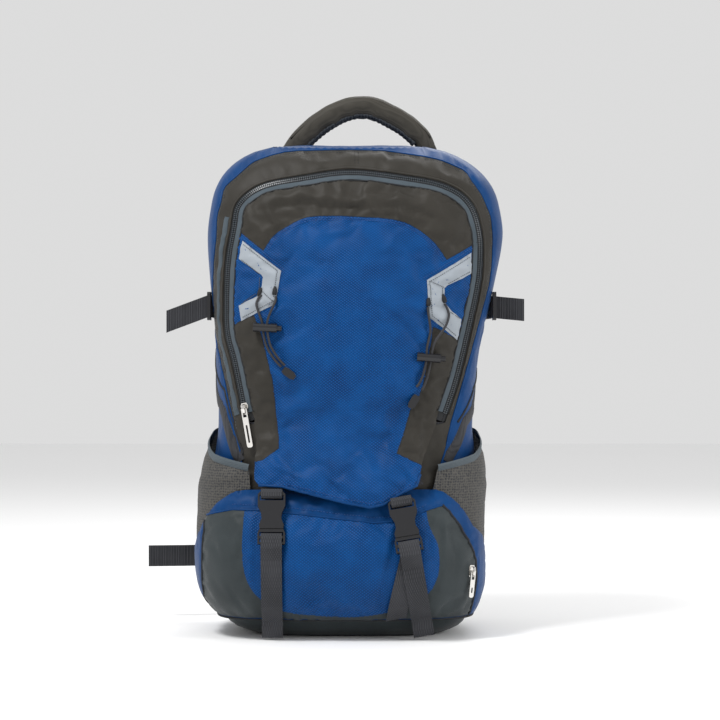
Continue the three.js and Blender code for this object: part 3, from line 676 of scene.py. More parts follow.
# ---- Where the main seams and panels run: x and z on the front ----
ZIP = curve(
    [(-106, 241), (-111, 256), (-121, 305), (-130, 340), (-131, 376), (-129, 419), (-123, 455), (-117, 482),
     (-92, 501), (-48, 510), (5, 517), (62, 511), (108, 502), (136, 484), (148, 452), (149, 415), (145, 384),
     (131, 322), (121, 283), (112, 256), (107, 241)],
    5.0,
)
ZIP_HALF = 7.3
APRON_EDGE = [(100, 238), (91, 214), (84, 194), (82, 183), (78, 171), (66, 165), (55, 159), (42, 151),
              (27, 148), (0, 153), (-16, 157), (-49, 165), (-68, 170), (-94, 171), (-99, 178), (-99, 190),
              (-97, 210),
              (-100, 238)]
FLAP_INNER = shift(ZIP, -ZIP_HALF)
PANEL_EDGE = [*map(tuple, FLAP_INNER), *APRON_EDGE]

ARCH = curve([(-88, 433), (-78, 447), (-59, 459), (-43, 466), (-21, 468), (16, 467), (58, 463), (79, 454),
              (99, 438), (112, 420)], 5)
BLUE_TOP = [(-118, 453), (-112, 448), (-90, 430), *map(tuple, ARCH), (139, 436), (146, 440)]
BLUE_AREA = [*BLUE_TOP, (160, 380), (160, 140), (-140, 140), (-140, 420)]
GREY_LEFT = [(-119, 350), (-100, 358), (-92, 337), (-85, 309), (-80, 287), (-77, 262), (-73, 224), (-73, 212),
             (-90, 199), (-99, 196), (-110, 206), (-112, 240), (-140, 330)]
GREY_RIGHT = [(130, 328), (112, 338), (97, 345), (91, 309), (86, 281), (80, 267), (72, 254), (66, 232),
              (57, 206), (74, 198), (84, 193), (98, 215), (106, 240), (140, 330)]
CHEVRON_LEFT = [(-113, 441), (-70, 407), (-76, 371), (-79, 369), (-114, 352), (-117, 369), (-97, 379),
                (-92, 386), (-90, 400), (-92, 403), (-117, 421)]
CHEVRON_RIGHT = [(139, 428), (90, 397), (92, 356), (123, 331), (128, 354), (117, 363), (109, 373), (109, 388),
                 (112, 391), (139, 405)]

GREY_SEAM = curve(
    [(-112, 160), (-115, 200), (-119, 220), (-126, 250), (-138, 305), (-146, 340), (-148, 376), (-147, 415),
     (-144, 443), (-143, 469), (-139, 484), (-135, 502), (-123, 513), (-109, 526), (-101, 532), (-74, 541),
     (-51, 544), (0, 545), (40, 544), (62, 541), (93, 536), (109, 532), (121, 527), (135, 520), (141, 510),
     (152, 494), (159, 478), (162, 469), (164, 453), (164, 432), (162, 404), (159, 388), (145, 337),
     (131, 287), (116, 235), (111, 210), (104, 188), (96, 160)],
    6,
)


# ---- The bag itself ----
def bag_cloth():
    rim = [(s, BAG_TOP - 1) for s in np.linspace(-BAG.half(BAG_TOP - 1), BAG.half(BAG_TOP - 1), 60)]
    right = [(BAG.half(z), z) for z in range(BAG_TOP - 6, 24, -12)]
    left = [(-BAG.half(z), z) for z in range(24, BAG_TOP - 5, 12)]
    base = [(s, 22) for s in np.linspace(BAG.half(22), -BAG.half(22), 60)]
    outline = [*rim, *right, *base, *left]
    grey = BAG.front(GREY_SEAM)
    hole = BAG.front([*map(tuple, shift(ZIP, 3.6)), (104, 238), (-104, 238)])
    seams = [BAG.side([(BACK_SEAM_Y, z) for z in range(30, 540, 15)], sign) for sign in (-1, 1)]
    back = BAG.side([(BACK_SEAM_Y, z) for z in range(30, 540, 30)], 1)
    back_area = [*back, (BAG.half(540) + 200, 540), (BAG.half(30) + 200, 30)]
    back_left = [(-s, z) for s, z in back_area]
    folds = [
        (BAG.side([(-60, 470), (-20, 500), (20, 480)], 1), 7, 2.2),
        (BAG.side([(-50, 420), (0, 380), (40, 350)], 1), 8, 2.0),
        (BAG.side([(-60, 300), (-20, 330), (40, 330)], -1), 8, 2.2),
        (BAG.side([(-50, 440), (0, 410), (50, 430)], -1), 9, 2.0),
        (BAG.side([(-70, 235), (-30, 262), (30, 250)], 1), 7, 2.4),
        (BAG.front([(-60, 530), (-20, 526), (30, 531)]), 5, 1.6),
        (BAG.front([(150, 470), (140, 500), (100, 518)]), 5, 1.4),
    ]
    return sewn(
        "bag_cloth", BAG, outline, seams, [(grey, 1), (back_area, 2), (back_left, 2)],
        [BLUE_PLAIN, GREY, BACK_CLOTH], "blue_fabric", spacing=6.0, lift=1.0, puff=2.2, reach=16,
        folds=folds, holes=[hole], wrinkle=1.0, seed=2, cap=5.0,
    )


bag = bag_cloth()
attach(bag, "pack")
bag_tree = tree_of(bag)


def top_cloth():
    """The closed top of the bag."""
    half = BAG.half(BAG_TOP - 1)
    rim = BAG.at(np.linspace(-half, half, 90)[:-1], np.full(89, BAG_TOP - 1.0))
    flat, faces = triangulate([tuple(p) for p in rim[:, :2]], [], [], 7.0, 4)
    gap = distance_to(flat, rim[:, :2])
    z = BAG_TOP - 1 + 0.1 * flat[:, 1] + 1.0 + 2.5 * (1 - np.exp(-gap / 14))
    points = np.column_stack([flat, z])
    points[:, 2] += 0.8 * ripple(points, 22, 9) * smooth(gap / 8)
    made = piece("top_cloth", points, faces, BLUE_PLAIN, "blue_fabric", flat)
    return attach(made, "pack")


top_cloth()


# ---- The flap and the apron below it ----
def panel_cloth():
    outline = PANEL.front(PANEL_EDGE)
    blue = PANEL.front(BLUE_AREA)
    left, right = PANEL.front(GREY_LEFT), PANEL.front(GREY_RIGHT)
    chevrons = [PANEL.front(CHEVRON_LEFT), PANEL.front(CHEVRON_RIGHT)]

    def fold(points, width, height):
        return PANEL.front(points), width, height

    folds = [
        fold([(-88, 484), (-50, 490), (0, 485), (61, 488), (96, 475)], 5, 2.6),
        fold([(-92, 474), (-50, 480), (0, 476), (61, 478), (94, 466)], 3, -2.2),
        fold([(-86, 478), (-78, 462)], 4, 1.8),
        fold([(-8, 482), (-6, 470)], 3.5, 1.6),
        fold([(24, 488), (38, 468)], 4, 1.8),
        fold([(58, 486), (66, 464)], 4, 1.8),
        fold([(96, 478), (120, 452)], 5, 2.0),
        fold([(36, 378), (64, 356), (93, 328)], 6, 3.4),
        fold([(30, 372), (58, 350), (84, 322)], 4, -2.6),
        fold([(-60, 440), (-20, 425), (30, 432)], 10, 1.6),
        fold([(-40, 330), (0, 318), (50, 326)], 9, 1.4),
        fold([(-70, 250), (-30, 262), (20, 240)], 8, 2.0),
        fold([(20, 205), (34, 185), (56, 172)], 4, 2.6),
        fold([(28, 196), (40, 178), (60, 166)], 3, -2.2),
        fold([(46, 214), (58, 196), (70, 186)], 4, 2.4),
        fold([(-40, 214), (-10, 190), (10, 168)], 7, 2.2),
        fold([(-80, 196), (-60, 182), (-40, 176)], 5, 2.2),
        fold([(-70, 186), (-50, 176), (-30, 170)], 3, -1.8),
        fold([(0, 176), (20, 166), (40, 160)], 4, 2.0),
        fold([(87, 235), (84, 200)], 2.5, -2.5),
        fold([(-116, 496), (-108, 478), (-104, 462)], 3, 1.6),
    ]
    return sewn(
        "panel_cloth", PANEL, outline, [], [(blue, 1), (left, 0), (right, 0)],
        [GREY, BLUE], "blue_fabric", spacing=3.6, lift=1.2, puff=2.6, reach=16,
        folds=folds, loops=chevrons, wrinkle=1.1, seed=7, stretch=(1.0, 1.25), cap=8.0,
    )


panel = panel_cloth()
panel_tree = tree_of(panel)


# ---- The lower pocket ----
def pocket_cloth():
    top = POCKET.front(
        [(-111, 165), (-92, 165.6), (-50, 165.6), (5, 165.6), (61, 165.6), (95, 165.6), (108, 163)])
    right = [*POCKET.front([(119, 155), (131, 142), (141, 125)]), *POCKET.side([(-62, 112), (-40, 92)], 1),
             *POCKET.side([(POCKET_BACK, z) for z in range(80, 24, -10)], 1)]
    left = [*POCKET.side([(POCKET_BACK, z) for z in range(30, 90, 10)], -1),
            *POCKET.side([(-40, 98), (-62, 112)], -1), *POCKET.front([(-155, 132), (-142, 150), (-126, 161)])]
    ends = [right[-1][0], left[0][0]]
    bottom = [(s, 22.8) for s in np.linspace(ends[0], ends[1], 50)]
    top = [tuple(p) for p in curve(top, 6)]
    outline = [*top, *right, *bottom, *left]
    grey = POCKET.front(
        [(-150, 24), (-157, 50), (-158, 76), (-157, 110), (-156, 131), (-148, 140), (-124, 144), (-91, 144),
         (-49, 140), (6, 134), (30, 131), (60, 133), (89, 144), (107, 149), (120, 134), (130, 118), (139, 102),
         (144, 87),
         (145, 68), (143, 50), (138, 24)])
    rounded = curve(
        [(-110, 143), (-112, 112), (-111, 85), (-107, 68), (-100, 55), (-91, 46), (-82, 40), (-62, 32),
         (0, 27), (35, 30), (60, 35), (77, 41), (88, 50), (97, 62), (102, 76), (103, 90), (101, 107),
         (95, 120), (91, 130), (89, 143)], 5)
    blue = POCKET.front([*map(tuple, rounded), (60, 133), (30, 131), (6, 134), (-49, 140), (-91, 144)])

    def fold(points, width, height):
        return POCKET.front(points), width, height

    folds = [
        fold([(-141, 103), (-128, 66), (-111, 35)], 3, -2.4),
        fold([(-134, 108), (-120, 70), (-106, 44)], 5, 2.2),
        fold([(-150, 70), (-140, 40)], 5, 1.8),
        fold([(110, 138), (112, 100), (106, 60)], 4, 2.4),
        fold([(118, 124), (122, 90), (116, 50)], 3, -2.2),
        fold([(128, 108), (134, 80), (130, 40)], 4, 2.2),
        fold([(-60, 120), (-20, 104), (30, 112)], 9, 1.8),
        fold([(-20, 70), (20, 60), (50, 66)], 9, 1.6),
        fold([(20, 128), (40, 112), (62, 108)], 5, 1.8),
        fold([(-100, 130), (-96, 100), (-100, 70)], 6, 1.6),
    ]
    return sewn(
        "pocket_cloth", POCKET, outline, [], [(grey, 1), (blue, 2)],
        [BLUE_PLAIN, GREY_COOL, BLUE], "blue_fabric", spacing=4.0, lift=0.9, puff=2.0, reach=14,
        folds=folds, wrinkle=1.0, seed=11, cap=5.0,
        flats=[(POCKET.front([(-80, 150), (-80, 26)]), 14), (POCKET.front([(70, 112), (50, 26)]), 14)],
    )


pocket = pocket_cloth()
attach(pocket, "pack")
pocket_tree = tree_of(pocket)


# ---- The base ----
def base_cloth():
    rows = [(z, BAG.half(z)) for z in (21.5, 16, 11, 6, 2)]
    outline = [(s, 21.5) for s in np.linspace(-rows[0][1], rows[0][1], 80)]
    outline += [(h, z) for z, h in rows[1:]]
    outline += [(s, 2) for s in np.linspace(rows[-1][1], -rows[-1][1], 80)[1:]]
    outline += [(-h, z) for z, h in rows[1:-1][::-1]]
    made = sewn(
        "base_cloth", BAG, outline, [], [], [GREY_COOL], "grey_fabric", spacing=5.0, lift=0.8, puff=1.6,
        reach=7, wrinkle=0.8, seed=13, free=True,
    )
    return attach(made, "pack")


base = base_cloth()


# ---- Reflective chevrons, their borders and stitching ----
def chevrons():
    for side, outline in (("left", CHEVRON_LEFT), ("right", CHEVRON_RIGHT)):
        places = PANEL.front(outline)
        patch = applique(f"chevron_{side}", panel_tree, PANEL, places, 0.6, REFLECTIVE, "reflective")
        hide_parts(f"reflective_patch_{side}")
        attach(patch, "flap")
    left_edges = [[(-112, 437), (-74, 407), (-79, 373)], [(-79, 373), (-112, 356)], [(-114, 371), (-97, 382)],
                  [(-94, 387), (-93, 400)], [(-94, 404), (-114, 420)], [(-92, 386), (-76, 371)]]
    right_edges = [[(137, 423), (93, 395), (95, 358)], [(95, 358), (121, 336)], [(126, 355), (115, 362)],
                   [(107, 373), (107, 389)], [(113, 393), (137, 407)], [(109, 389), (92, 396)]]
    lines = [PANEL.front(e) for e in (*left_edges, *right_edges)]
    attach(stitches("chevron_stitches", panel_tree, PANEL, lines, THREAD_GREY, "reflective", 2.4,
                     (1.3, 0.7, 0.7), 0.75), "flap")
    borders = [
        [(-119, 447), (-113, 443), (-66, 404)],
        [(-118, 452), (-110, 445), (-66, 408)],
        [(143, 434), (136, 431), (86, 399)],
        [(143, 430), (138, 427), (90, 397)],
    ]
    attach(stitches("border_stitches", panel_tree, PANEL, [PANEL.front(b) for b in borders], THREAD_BLUE,
                     "blue_fabric", 2.8, (1.9, 0.6, 0.6), 0.2), "flap")


chevrons()


# ---- Seams of the flap and apron: dark sunk lines of painted shade in the seam grooves, with stitches beside the arch ----
def panel_seams():
    parts = []
    # Near-black tubes, sunk a little into the cloth, paint the shade in the seams between the blue and grey
    # panels.
    seams = [BLUE_TOP, GREY_LEFT[:10], GREY_RIGHT[:11][1:]]
    for line in seams:
        points, _ = lay(panel_tree, PANEL, dense(PANEL.front(line), 3), -0.3)
        parts.append(tube(points, 0.75))
    made = piece("panel_seams", *merged(parts), DARK, "grey_fabric")
    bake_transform(made)
    rows = [PANEL.front(shift(ARCH, d)) for d in (-2.6, -4.6)]
    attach(stitches("arch_stitches", panel_tree, PANEL, rows, THREAD_BLUE, "blue_fabric", 3.0,
                     (2.0, 0.6, 0.6), 0.15), "flap")
    hem = [(x, z + 4) for x, z in APRON_EDGE[4:13]]
    points, _ = lay(panel_tree, PANEL, dense(PANEL.front(APRON_EDGE[3:14]), 3), 0.2)
    roll = piece("apron_hem", *tube(points, 1.6), BLUE_PLAIN, "blue_fabric")
    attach(roll, "pack")
    rows = [PANEL.front(hem)]
    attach(stitches("apron_stitches", panel_tree, PANEL, rows, THREAD_BLUE, "blue_fabric"), "pack")


panel_seams()
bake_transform(panel)


# ---- The main zip ----
def main_zip():
    """The two halves of the coil between dark edges, the ruffled inner tape, and the welts beside them."""
    line = np.array([p for p in ZIP if p[1] > 246])
    for body, sign in (("flap", -1), ("pack", 1)):
        rows = []
        for across, height in ((1.8, 0.5), (2.6, 1.0), (4.2, 1.6), (5.8, 2.0), (7.4, 2.4), (8.4, 2.2)):
            spots = np.array(BAG.front(shift(line, sign * across)))
            points, normals = BAG.at(*spots.T), BAG.normal(*spots.T)
            rumple = 0.9 * ripple(points, 8, 21) * smooth(across / 8)
            if sign > 0:
                rumple = rumple * 0.3 - 0.9
            rows.append(points + normals * (height + rumple)[:, None])
        rows = rows if sign < 0 else rows[:3]
        count = len(line)
        faces = grid_faces(len(rows), count)
        if sign < 0:
            faces = turned(faces)
        uv = np.vstack([np.stack([np.full(count, 2.0 * k), np.arange(count) * 5.0], axis=1)
                        for k in range(len(rows))])
        tape = piece(f"zip_cloth_{body}", np.vstack(rows), faces, TAPE, "zip_tape", uv)
        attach(tape, body)
        fine = curve(line, 2.2)
        teeth = np.array(BAG.front(shift(fine, sign * 1.1)))
        base, out = BAG.at(*teeth.T), BAG.normal(*teeth.T)
        coil = bricks(base + 0.9 * out, np.gradient(base, axis=0), out, (1.2, 1.7, 1.3))
        made = piece(f"zip_coil_{body}", *coil, COIL, "zip_tape")
        made.data.polygons.foreach_set("use_smooth", np.zeros(len(made.data.polygons), bool))
        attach(made, body)
        edge = np.array(BAG.front(shift(line, sign * 2.5)))
        points = BAG.at(*edge.T) + 1.0 * BAG.normal(*edge.T)
        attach(piece(f"zip_edge_{body}", *tube(points, 0.6), DARK, "zip_tape"), body)
    points, _ = lay(bag_tree, BAG, BAG.front(shift(line, 4.6)), 0.5)
    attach(piece("zip_welt_outer", *tube(points, 1.3), GREY, "grey_fabric"), "pack")
    left = np.array([p for p in line if p[0] < -80 and p[1] < 470])
    strip = ribbon("zip_left_tape", bag_tree, BAG, BAG.front(shift(left, 9.4)), 6.5, TAPE,
                   "zip_tape", 0.5)
    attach(strip, "pack")
    points, _ = lay(panel_tree, PANEL, PANEL.front(shift(line, -8.8)), 0.0)
    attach(piece("zip_welt_inner", *tube(points, 1.0), DARK, "grey_fabric"), "flap")


main_zip()


def bag_seams():
    places = BAG.front(GREY_SEAM)
    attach(seam_tubes("front_seam", bag_tree, BAG, [places], 1.1, BLUE_PLAIN, "blue_fabric", 0.2), "pack")
    rows = [BAG.front(shift(GREY_SEAM[12:-16], -3.2))]
    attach(stitches("front_seam_stitches", bag_tree, BAG, rows, THREAD_GREY, "grey_fabric", 3.4), "pack")
    middle = [BAG.front([(x, 543), (x, 526)]) for x in (10.5, 14.5)]
    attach(stitches("top_seam_stitches", bag_tree, BAG, middle, DARK, "grey_fabric", 2.6), "pack")
    middle = np.array([(BAG.half(z), z) for z in range(24, BAG_TOP - 1, 8)])
    points = BAG.at(*middle.T) + 0.6 * BAG.normal(*middle.T)
    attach(piece("back_middle_seam", *tube(points, 2.4), BACK_CLOTH, "grey_fabric"), "pack")
    sides = [BAG.side([(BACK_SEAM_Y, z) for z in range(30, 540, 12)], sign) for sign in (-1, 1)]
    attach(seam_tubes("back_seams", bag_tree, BAG, sides, 1.8, GREY, "grey_fabric", 0.4), "pack")
    for name, line, width in (
        ("left", [(-148, 300), (-134, 250), (-116, 196)], 13),
        ("right", [(150, 284), (132, 240), (112, 196)], 14),
    ):
        strip = ribbon(f"side_band_{name}", bag_tree, BAG, BAG.front(line), width, WEBBING, "webbing", 0.8)
        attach(strip, "pack")
    # Near-black tubes along the edges of the side bands: painted shade in the gaps where the bands meet the
    # bag's sides.
    side_shade_lines = [BAG.front(line) for line in ([(-146, 322), (-133, 275), (-112, 204)],
                                         [(150, 300), (141, 274), (123, 240)])]
    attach(seam_tubes("side_gap_painted_shade", bag_tree, BAG, side_shade_lines, 1.5, DARK, "grey_fabric", -0.1), "pack")


bag_seams()


def pocket_seams():
    zip_left = [(-150, 24), (-157, 50), (-158, 76), (-157, 110), (-155, 131)]
    zip_right = [(107, 149), (120, 134), (130, 118), (139, 102), (144, 87), (145, 68), (143, 50), (138, 26)]
    lines = [POCKET.front(zip_left), POCKET.front(zip_right)]
    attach(seam_tubes("pocket_zip_gap", pocket_tree, POCKET, lines, 1.6, DARK, "zip_tape", 0.0), "pack")
    band = [(-152, 137), (-124, 144), (-91, 144), (-49, 140), (6, 134), (30, 131), (60, 133), (89, 144),
            (107, 149)]
    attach(seam_tubes("pocket_band_seam", pocket_tree, POCKET, [POCKET.front(band)], 1.2, BLUE_PLAIN,
                       "blue_fabric", 0.3), "pack")
    above = [POCKET.front([(x, z + 5) for x, z in band[1:-1]])]
    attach(stitches("pocket_band_stitches", pocket_tree, POCKET, above, THREAD_BLUE, "blue_fabric"), "pack")
    hem = [[(s, 22.4) for s in np.linspace(-POCKET.side([(POCKET_BACK, 24)], 1)[0][0],
                                           POCKET.side([(POCKET_BACK, 24)], 1)[0][0], 110)]]
    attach(seam_tubes("base_seam", pocket_tree, POCKET, hem, 1.6, DARK, "grey_fabric", -0.4), "pack")


pocket_seams()


# ---- Mesh side pockets: a knitted net with a bound rim ----
def net_material():
    """Knitted net: light threads round small dark holes."""
    made = material("pocket_net", (0.1, 0.095, 0.085), 0.7)
    tree = made.node_tree
    place = add_node(tree, "TexCoord")
    cells = add_node(tree, "TexVoronoi", Scale=34, Randomness=0.35)
    tree.links.new(place.outputs["UV"], cells.inputs["Vector"])
    coloured(tree, cells.outputs["Distance"], (0.2, (0.012, 0.014, 0.018)), (0.55, (0.068, 0.064, 0.057)))
    embossed(tree, cells.outputs["Distance"], 0.0008)
    return made


NET = net_material()


def mesh_pocket(side, sign):
    rim = [(-97, 190), (-70, 200), (-30, 215), (20, 222), (78, 227)]
    outline = MESH.side([*rim, (78, 160), (78, 90), (78, 34), (30, 34), (POCKET_BACK, 34), (POCKET_BACK, 60),
                         (-45, 80), (-66, 95), (-80, 115), (-97, 140), (-97, 167)], sign)
    if sign < 0:
        outline = outline[::-1]
    folds = [
        (MESH.side([(-90, 180), (-40, 172), (0, 140), (10, 60)], sign), 6, 2.0),
        (MESH.side([(20, 215), (24, 150), (30, 70)], sign), 6, 1.6),
    ]
    made = sewn(f"mesh_cloth_{side}", MESH, outline, [], [], [NET], "mesh_fabric", spacing=6.0, lift=-0.2,
                puff=1.2, reach=8, folds=folds, wrinkle=0.9, seed=15 + sign, free=True)
    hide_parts(f"mesh_pocket_{side}")
    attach(made, "pack")
    tree = tree_of(made)
    places = MESH.side(rim, sign)
    strip = ribbon(f"mesh_binding_{side}", tree, MESH, places if sign > 0 else places[::-1], 8.0, BINDING,
                   "grey_fabric", 0.8)
    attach(strip, "pack")


for side_name, side_sign in SIGNED_SIDES:
    mesh_pocket(side_name, side_sign)


# ---- Carry handle ----
def carry_handle():
    """A padded tube with its seam along the outside and air mesh along the inside."""
    line = curve([(-66, 552), (-58, 563), (-39, 581), (-21, 594), (-3, 603), (15, 607), (34, 605), (55, 595),
                  (73, 584), (89, 569), (97, 553)], 4.4)
    count = len(line) - 1
    ahead = np.gradient(line, axis=0)
    ahead /= np.linalg.norm(ahead, axis=1, keepdims=True)
    up = np.stack([-ahead[:, 1], ahead[:, 0]], axis=1)
    radius, sides = 13.2, 28
    points, uv = [], []
    for i, (p, u) in enumerate(zip(line, up)):
        taper = 0.84 + 0.16 * smooth(min(i, count - i) / 9)
        for k in range(sides):
            a = 2 * math.pi * k / sides
            ring = abs(math.cos(a)) ** 0.8 * math.copysign(1, math.cos(a))
            tall = abs(math.sin(a)) ** 0.8 * math.copysign(1, math.sin(a))
            radial = radius * taper * tall
            deep = radius * taper * ring
            points.append((p[0] + u[0] * radial, HANDLE_Y + deep, p[1] + u[1] * radial))
            uv.append((k * 2.6, i * 6.0))
    points = np.array(points)
    under = np.array([max(0.0, -math.sin(2 * math.pi * k / sides)) for k in range(sides)] * len(line))
    centre = np.array([[p[0], HANDLE_Y, p[1]] for p in line]).repeat(sides, axis=0)
    outward = points - centre
    outward /= np.linalg.norm(outward, axis=1, keepdims=True)
    wave = 0.9 * ripple(points, 15, 31) + under * 2.6 * ripple(points * (1, 0.35, 1), 8, 33)
    points = points + outward * wave[:, None]
    faces = [
        [i * sides + k, i * sides + (k + 1) % sides, (i + 1) * sides + (k + 1) % sides, (i + 1) * sides + k]
        for i in range(len(line) - 1) for k in range(sides)
    ]
    faces.append(list(range(sides))[::-1])
    faces.append([(len(line) - 1) * sides + k for k in range(sides)])
    index = [1 if -math.sin(2 * math.pi * (k + 0.5) / sides) > 0.8 else 0
             for _ in range(len(line) - 1) for k in range(sides)] + [0, 0]
    made = piece("handle_pad", points, faces, [GREY_OBJECT, PAD], "grey_fabric", uv, index)
    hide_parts("carry_handle")
    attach(made, "handle")
    parts = []
    for front in (-1, 1):
        edge = np.array(
            [(p[0] + u[0] * 9.4, HANDLE_Y + front * 9.6, p[1] + u[1] * 9.4) for p, u in zip(line, up)]
        )
        parts.append(tube(edge[3:-3], 0.9))
    made = piece("handle_piping", *merged(parts), GREY_OBJECT, "grey_fabric")
    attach(made, "handle")
    parts = []
    for drop, depth in ((10.6, 67.0), (12.4, 70.0)):
        edge = [(p[0] - u[0] * drop, depth, p[1] - u[1] * drop) for p, u in zip(line, up)]
        fine = curve(edge[4:-4], 1.5)
        radii = 1.5 + 0.9 * np.abs(np.sin(np.arange(len(fine)) * 0.8 + drop))
        parts.append(tube(fine, radii))
    made = piece("handle_air_mesh", *merged(parts), PAD, "pad_mesh")
    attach(made, "handle")


carry_handle()


# ---- Bungee cords ----
CORDS = {
    "left_inner": [(-92, 381), (-96, 376), (-97.5, 370), (-94.5, 360), (-91.6, 352), (-90.5, 344.5),
                   (-89, 335), (-87, 327), (-83, 318), (-76, 308), (-70, 301.5)],
    "left_outer": [(-76, 379), (-76.5, 374), (-79, 368), (-83, 359), (-85.2, 352), (-85.5, 344.5),
                   (-84.5, 335), (-81.5, 324), (-75.5, 314), (-69.5, 306.5), (-66, 303)],
    "right_inner": [(110, 371), (112.5, 366), (114.5, 359), (112, 349), (106, 339), (100, 331),
                    (96.5, 322), (94.8, 311.5), (93.5, 303), (91, 292), (88, 283), (84.5, 276)],
    "right_outer": [(91, 367), (91.5, 361), (93, 351), (94, 341), (92, 331), (90, 322), (89.6, 311.5),
                    (88.5, 303), (85.5, 292), (81.5, 283), (78.5, 279.5)],
}


def bungees():
    for name, line in CORDS.items():
        places = np.array(BAG.front(line))
        lift = 3.0 + 5.0 * smooth(np.arange(len(line)) / 3)
        points = curve(BAG.at(*places.T) - np.outer(lift, (0, 1, 0)), 3.0)
        data = bpy.data.curves.new(f"bungee_{name}", "CURVE")
        data.dimensions = "3D"
        data.bevel_depth = 1.4 * MM
        data.bevel_resolution = 3
        data.use_fill_caps = True
        spline = data.splines.new("POLY")
        spline.points.add(len(points) - 1)
        for spot, p in zip(spline.points, points):
            spot.co = (*(p * MM), 1)
        data.materials.append(CORD)
        made = bpy.data.objects.new(f"bungee_{name}", data)
        bpy.context.scene.collection.objects.link(made)
        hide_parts(f"cord_{name}")
        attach(made, "flap")


bungees()


def cord_tunnels():
    """The little cloth sleeves that the cords come out of, at the chevrons' edges."""
    parts = []
    for x, z, turn in ((-94, 381, 0.3), (-77, 382, 0.1), (109, 374, -0.3), (91, 370, 0.1)):
        line = [(x + k * math.sin(turn), z + k) for k in (-1.5, 1.5, 4.5, 7.5)]
        points, _ = lay(panel_tree, PANEL, PANEL.front(line), 1.0)
        parts.append(tube(points, [2.3, 2.6, 2.4, 1.2], 8))
    made = piece("cord_tunnels", *merged(parts), DARK, "blue_fabric")
    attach(made, "flap")


cord_tunnels()


# ---- CAD parts that show as they are ----
def paint(names, look, bevel=0.0):
    """Gives CAD parts a material, and softens their edges by the bevel in metres."""
    for name in names:
        node = nodes[name]
        node.data.materials.clear()
        node.data.materials.append(look)
        if bevel:
            rounding = node.modifiers.new("bevel", "BEVEL")
            rounding.width = bevel
            rounding.segments = 2
            rounding.limit_method = "ANGLE"
            rounding.angle_limit = math.radians(40)
            rounding.use_clamp_overlap = True


paint(["main_shell", "front_flap", "lower_pocket", "front_apron", "inner_sleeve"], LINING)
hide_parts("lower_pocket")
paint(["zip_tape_inner", "zip_tape_outer"], DARK)
paint(["base_panel"], LINING)
paint(["frame_sheet"], SHEET)
paint(["frame_stay"], ALUMINIUM)
paint(["zip_slider", "zip_pull", "pocket_zip_slider", "pocket_zip_pull"], CHROME, 0.0003)
paint([f"{kind}_{side}" for kind in ("buckle_socket", "buckle_plug") for side in SIDES], PLASTIC, 0.0009)
paint([f"{kind}_{side}" for kind in ("side_buckle", "strap_adjuster") for side in SIDES], PLASTIC, 0.0006)
paint(["hip_buckle_plug", "hip_buckle_socket"], PLASTIC, 0.0009)
paint([f"{kind}_{side}" for kind in ("cord_lock", "cord_end") for side in SIDES], PLASTIC, 0.0006)
paint([f"cord_lock_button_{side}" for side in SIDES], PLASTIC, 0.0012)
paint([f"{kind}_{side}" for kind in ("buckle_loop", "hip_webbing") for side in SIDES], WEBBING)


# ---- Webbing that bends: a copy of the CAD strap, cut finer along its length ----
def bending(node_name, cut_step, axes=(2, 1)):
    source = nodes[node_name]
    made = bpy.data.objects.new(f"{node_name}_cloth", source.data.copy())
    bpy.context.scene.collection.objects.link(made)
    shape = bmesh.new()
    shape.from_mesh(made.data)
    low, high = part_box(node_name)
    for axis in axes:
        count = int((high[axis] - low[axis]) / cut_step)
        for k in range(1, count):
            spot, way = [0, 0, 0], [0, 0, 0]
            spot[axis] = low[axis] + (high[axis] - low[axis]) * k / count
            way[axis] = 1
            bmesh.ops.bisect_plane(shape, geom=[*shape.verts, *shape.edges, *shape.faces], plane_co=spot,
                                   plane_no=way)
    shape.to_mesh(made.data)
    shape.free()
    made.data.materials.clear()
    made.data.materials.append(WEBBING)
    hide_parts(node_name)
    return made


def droop(obj, sign, start, drop, stretch):
    """Lets the loose end of a side strap hang."""
    for spot in obj.data.vertices:
        beyond = max(0.0, sign * spot.co.x - start)
        spot.co.z -= drop * beyond
        spot.co.x += sign * stretch * beyond


for side_name, side_sign in SIGNED_SIDES:
    strap = bending(f"front_strap_{side_name}", 0.006)
    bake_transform(strap)
    loose = bending(f"side_strap_{side_name}", 0.006, (0,))
    droop(loose, side_sign, *{"left": (0.156, 0.4, 0.06), "right": (0.158, 0.1, 0.0)}[side_name])
    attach(loose, "pack")
    lifter = bending(f"load_lifter_{side_name}", 0.006)
    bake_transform(lifter)
    strap = bending(f"strap_webbing_{side_name}", 0.006)
    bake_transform(strap)


# ---- Pads ----
def puffed(name, node_name, body, look, amount):
    """A padded piece: the CAD solid remeshed, rounded off and dimpled a little."""
    source = nodes[node_name]
    made = bpy.data.objects.new(name, source.data.copy())
    bpy.context.scene.collection.objects.link(made)
    made.data.materials.clear()
    remesh = made.modifiers.new("remesh", "REMESH")
    remesh.mode = "VOXEL"
    remesh.voxel_size = 0.0026
    relax = made.modifiers.new("relax", "SMOOTH")
    relax.iterations = 6
    relax.factor = 0.6
    shown = made.evaluated_get(bpy.context.evaluated_depsgraph_get())
    mesh = bpy.data.meshes.new_from_object(shown)
    made.modifiers.clear()
    made.data = mesh
    made.data.materials.clear()
    made.data.materials.append(look)
    co, out = read(mesh), read(mesh, "normal")
    write(mesh, co + out * (amount * (0.6 + 0.9 * ripple(co / MM, 17, 41)) * MM)[:, None])
    mesh.polygons.foreach_set("use_smooth", np.ones(len(mesh.polygons), bool))
    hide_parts(node_name)
    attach(made, body)
    return made


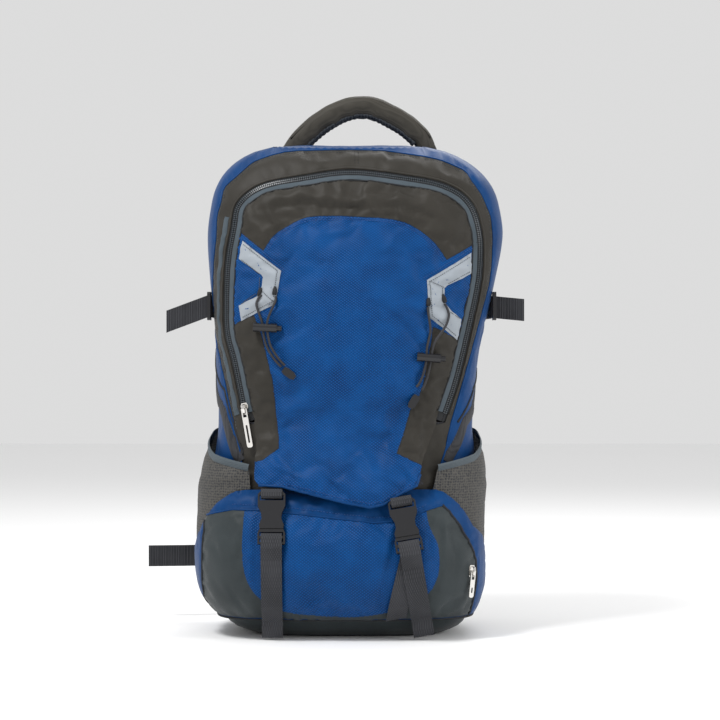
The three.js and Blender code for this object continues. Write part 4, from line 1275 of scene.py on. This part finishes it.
puffed("back_pad_cloth", "back_pad", "pack", PAD, 0.8)
puffed("lumbar_pad_cloth", "lumbar_pad", "pack", PAD, 0.8)
for side_name in SIDES:
    puffed(f"shoulder_pad_{side_name}", f"shoulder_strap_{side_name}", f"{side_name}_shoulder", GREY_OBJECT,
           0.7)
    puffed(f"hip_pad_{side_name}", f"hip_wing_{side_name}", f"{side_name}_hip", GREY_OBJECT,
           0.7)


# ---- Floor, light and camera ----
FLOOR_HALF = 6.0
WORLD_LIGHT = 0.72
FLOOR_COLOUR = (0.93, 0.93, 0.93)
CAMERA_PLACE = (0.0165, -2.71, 0.309)
CAMERA_LENS = 118.2
CAMERA_SENSOR = 36


def studio():
    scene = bpy.context.scene
    world = bpy.data.worlds.new("studio")
    scene.world = world
    world.use_nodes = True
    world.node_tree.nodes["Background"].inputs["Color"].default_value = (1, 1, 1, 1)
    world.node_tree.nodes["Background"].inputs["Strength"].default_value = WORLD_LIGHT
    floor_mesh = bpy.data.meshes.new("floor")
    corners = [(x * FLOOR_HALF, y * FLOOR_HALF, 0) for x, y in ((-1, -1), (1, -1), (1, 1), (-1, 1))]
    floor_mesh.from_pydata(corners, [], [(0, 1, 2, 3)])
    floor = bpy.data.objects.new("floor", floor_mesh)
    scene.collection.objects.link(floor)
    floor_mesh.materials.append(material("floor_paint", FLOOR_COLOUR, 0.7))

    def lamp(name, place, size, power, aim=(0, 0, 0.3)):
        data = bpy.data.lights.new(name, "AREA")
        data.shape = "RECTANGLE"
        data.size, data.size_y = size
        data.energy = power
        made = bpy.data.objects.new(name, data)
        made.location = place
        made.rotation_euler = (Vector(aim) - Vector(place)).to_track_quat("-Z", "Y").to_euler()
        scene.collection.objects.link(made)

    lamp("key", (-1.0, -1.1, 2.3), (0.6, 0.6), 46)
    lamp("fill", (1.9, -1.0, 0.9), (0.8, 0.8), 14)
    lamp("rim", (0.6, 1.6, 1.8), (1.2, 0.8), 14)

    camera_data = bpy.data.cameras.new("camera")
    camera_data.sensor_width = CAMERA_SENSOR
    camera_data.lens = CAMERA_LENS
    camera = bpy.data.objects.new("camera", camera_data)
    camera.location = CAMERA_PLACE
    camera.rotation_euler = (math.radians(90), 0, 0)
    scene.collection.objects.link(camera)
    scene.camera = camera
    scene.view_settings.view_transform = "Standard"
    scene.view_settings.look = "None"


studio()
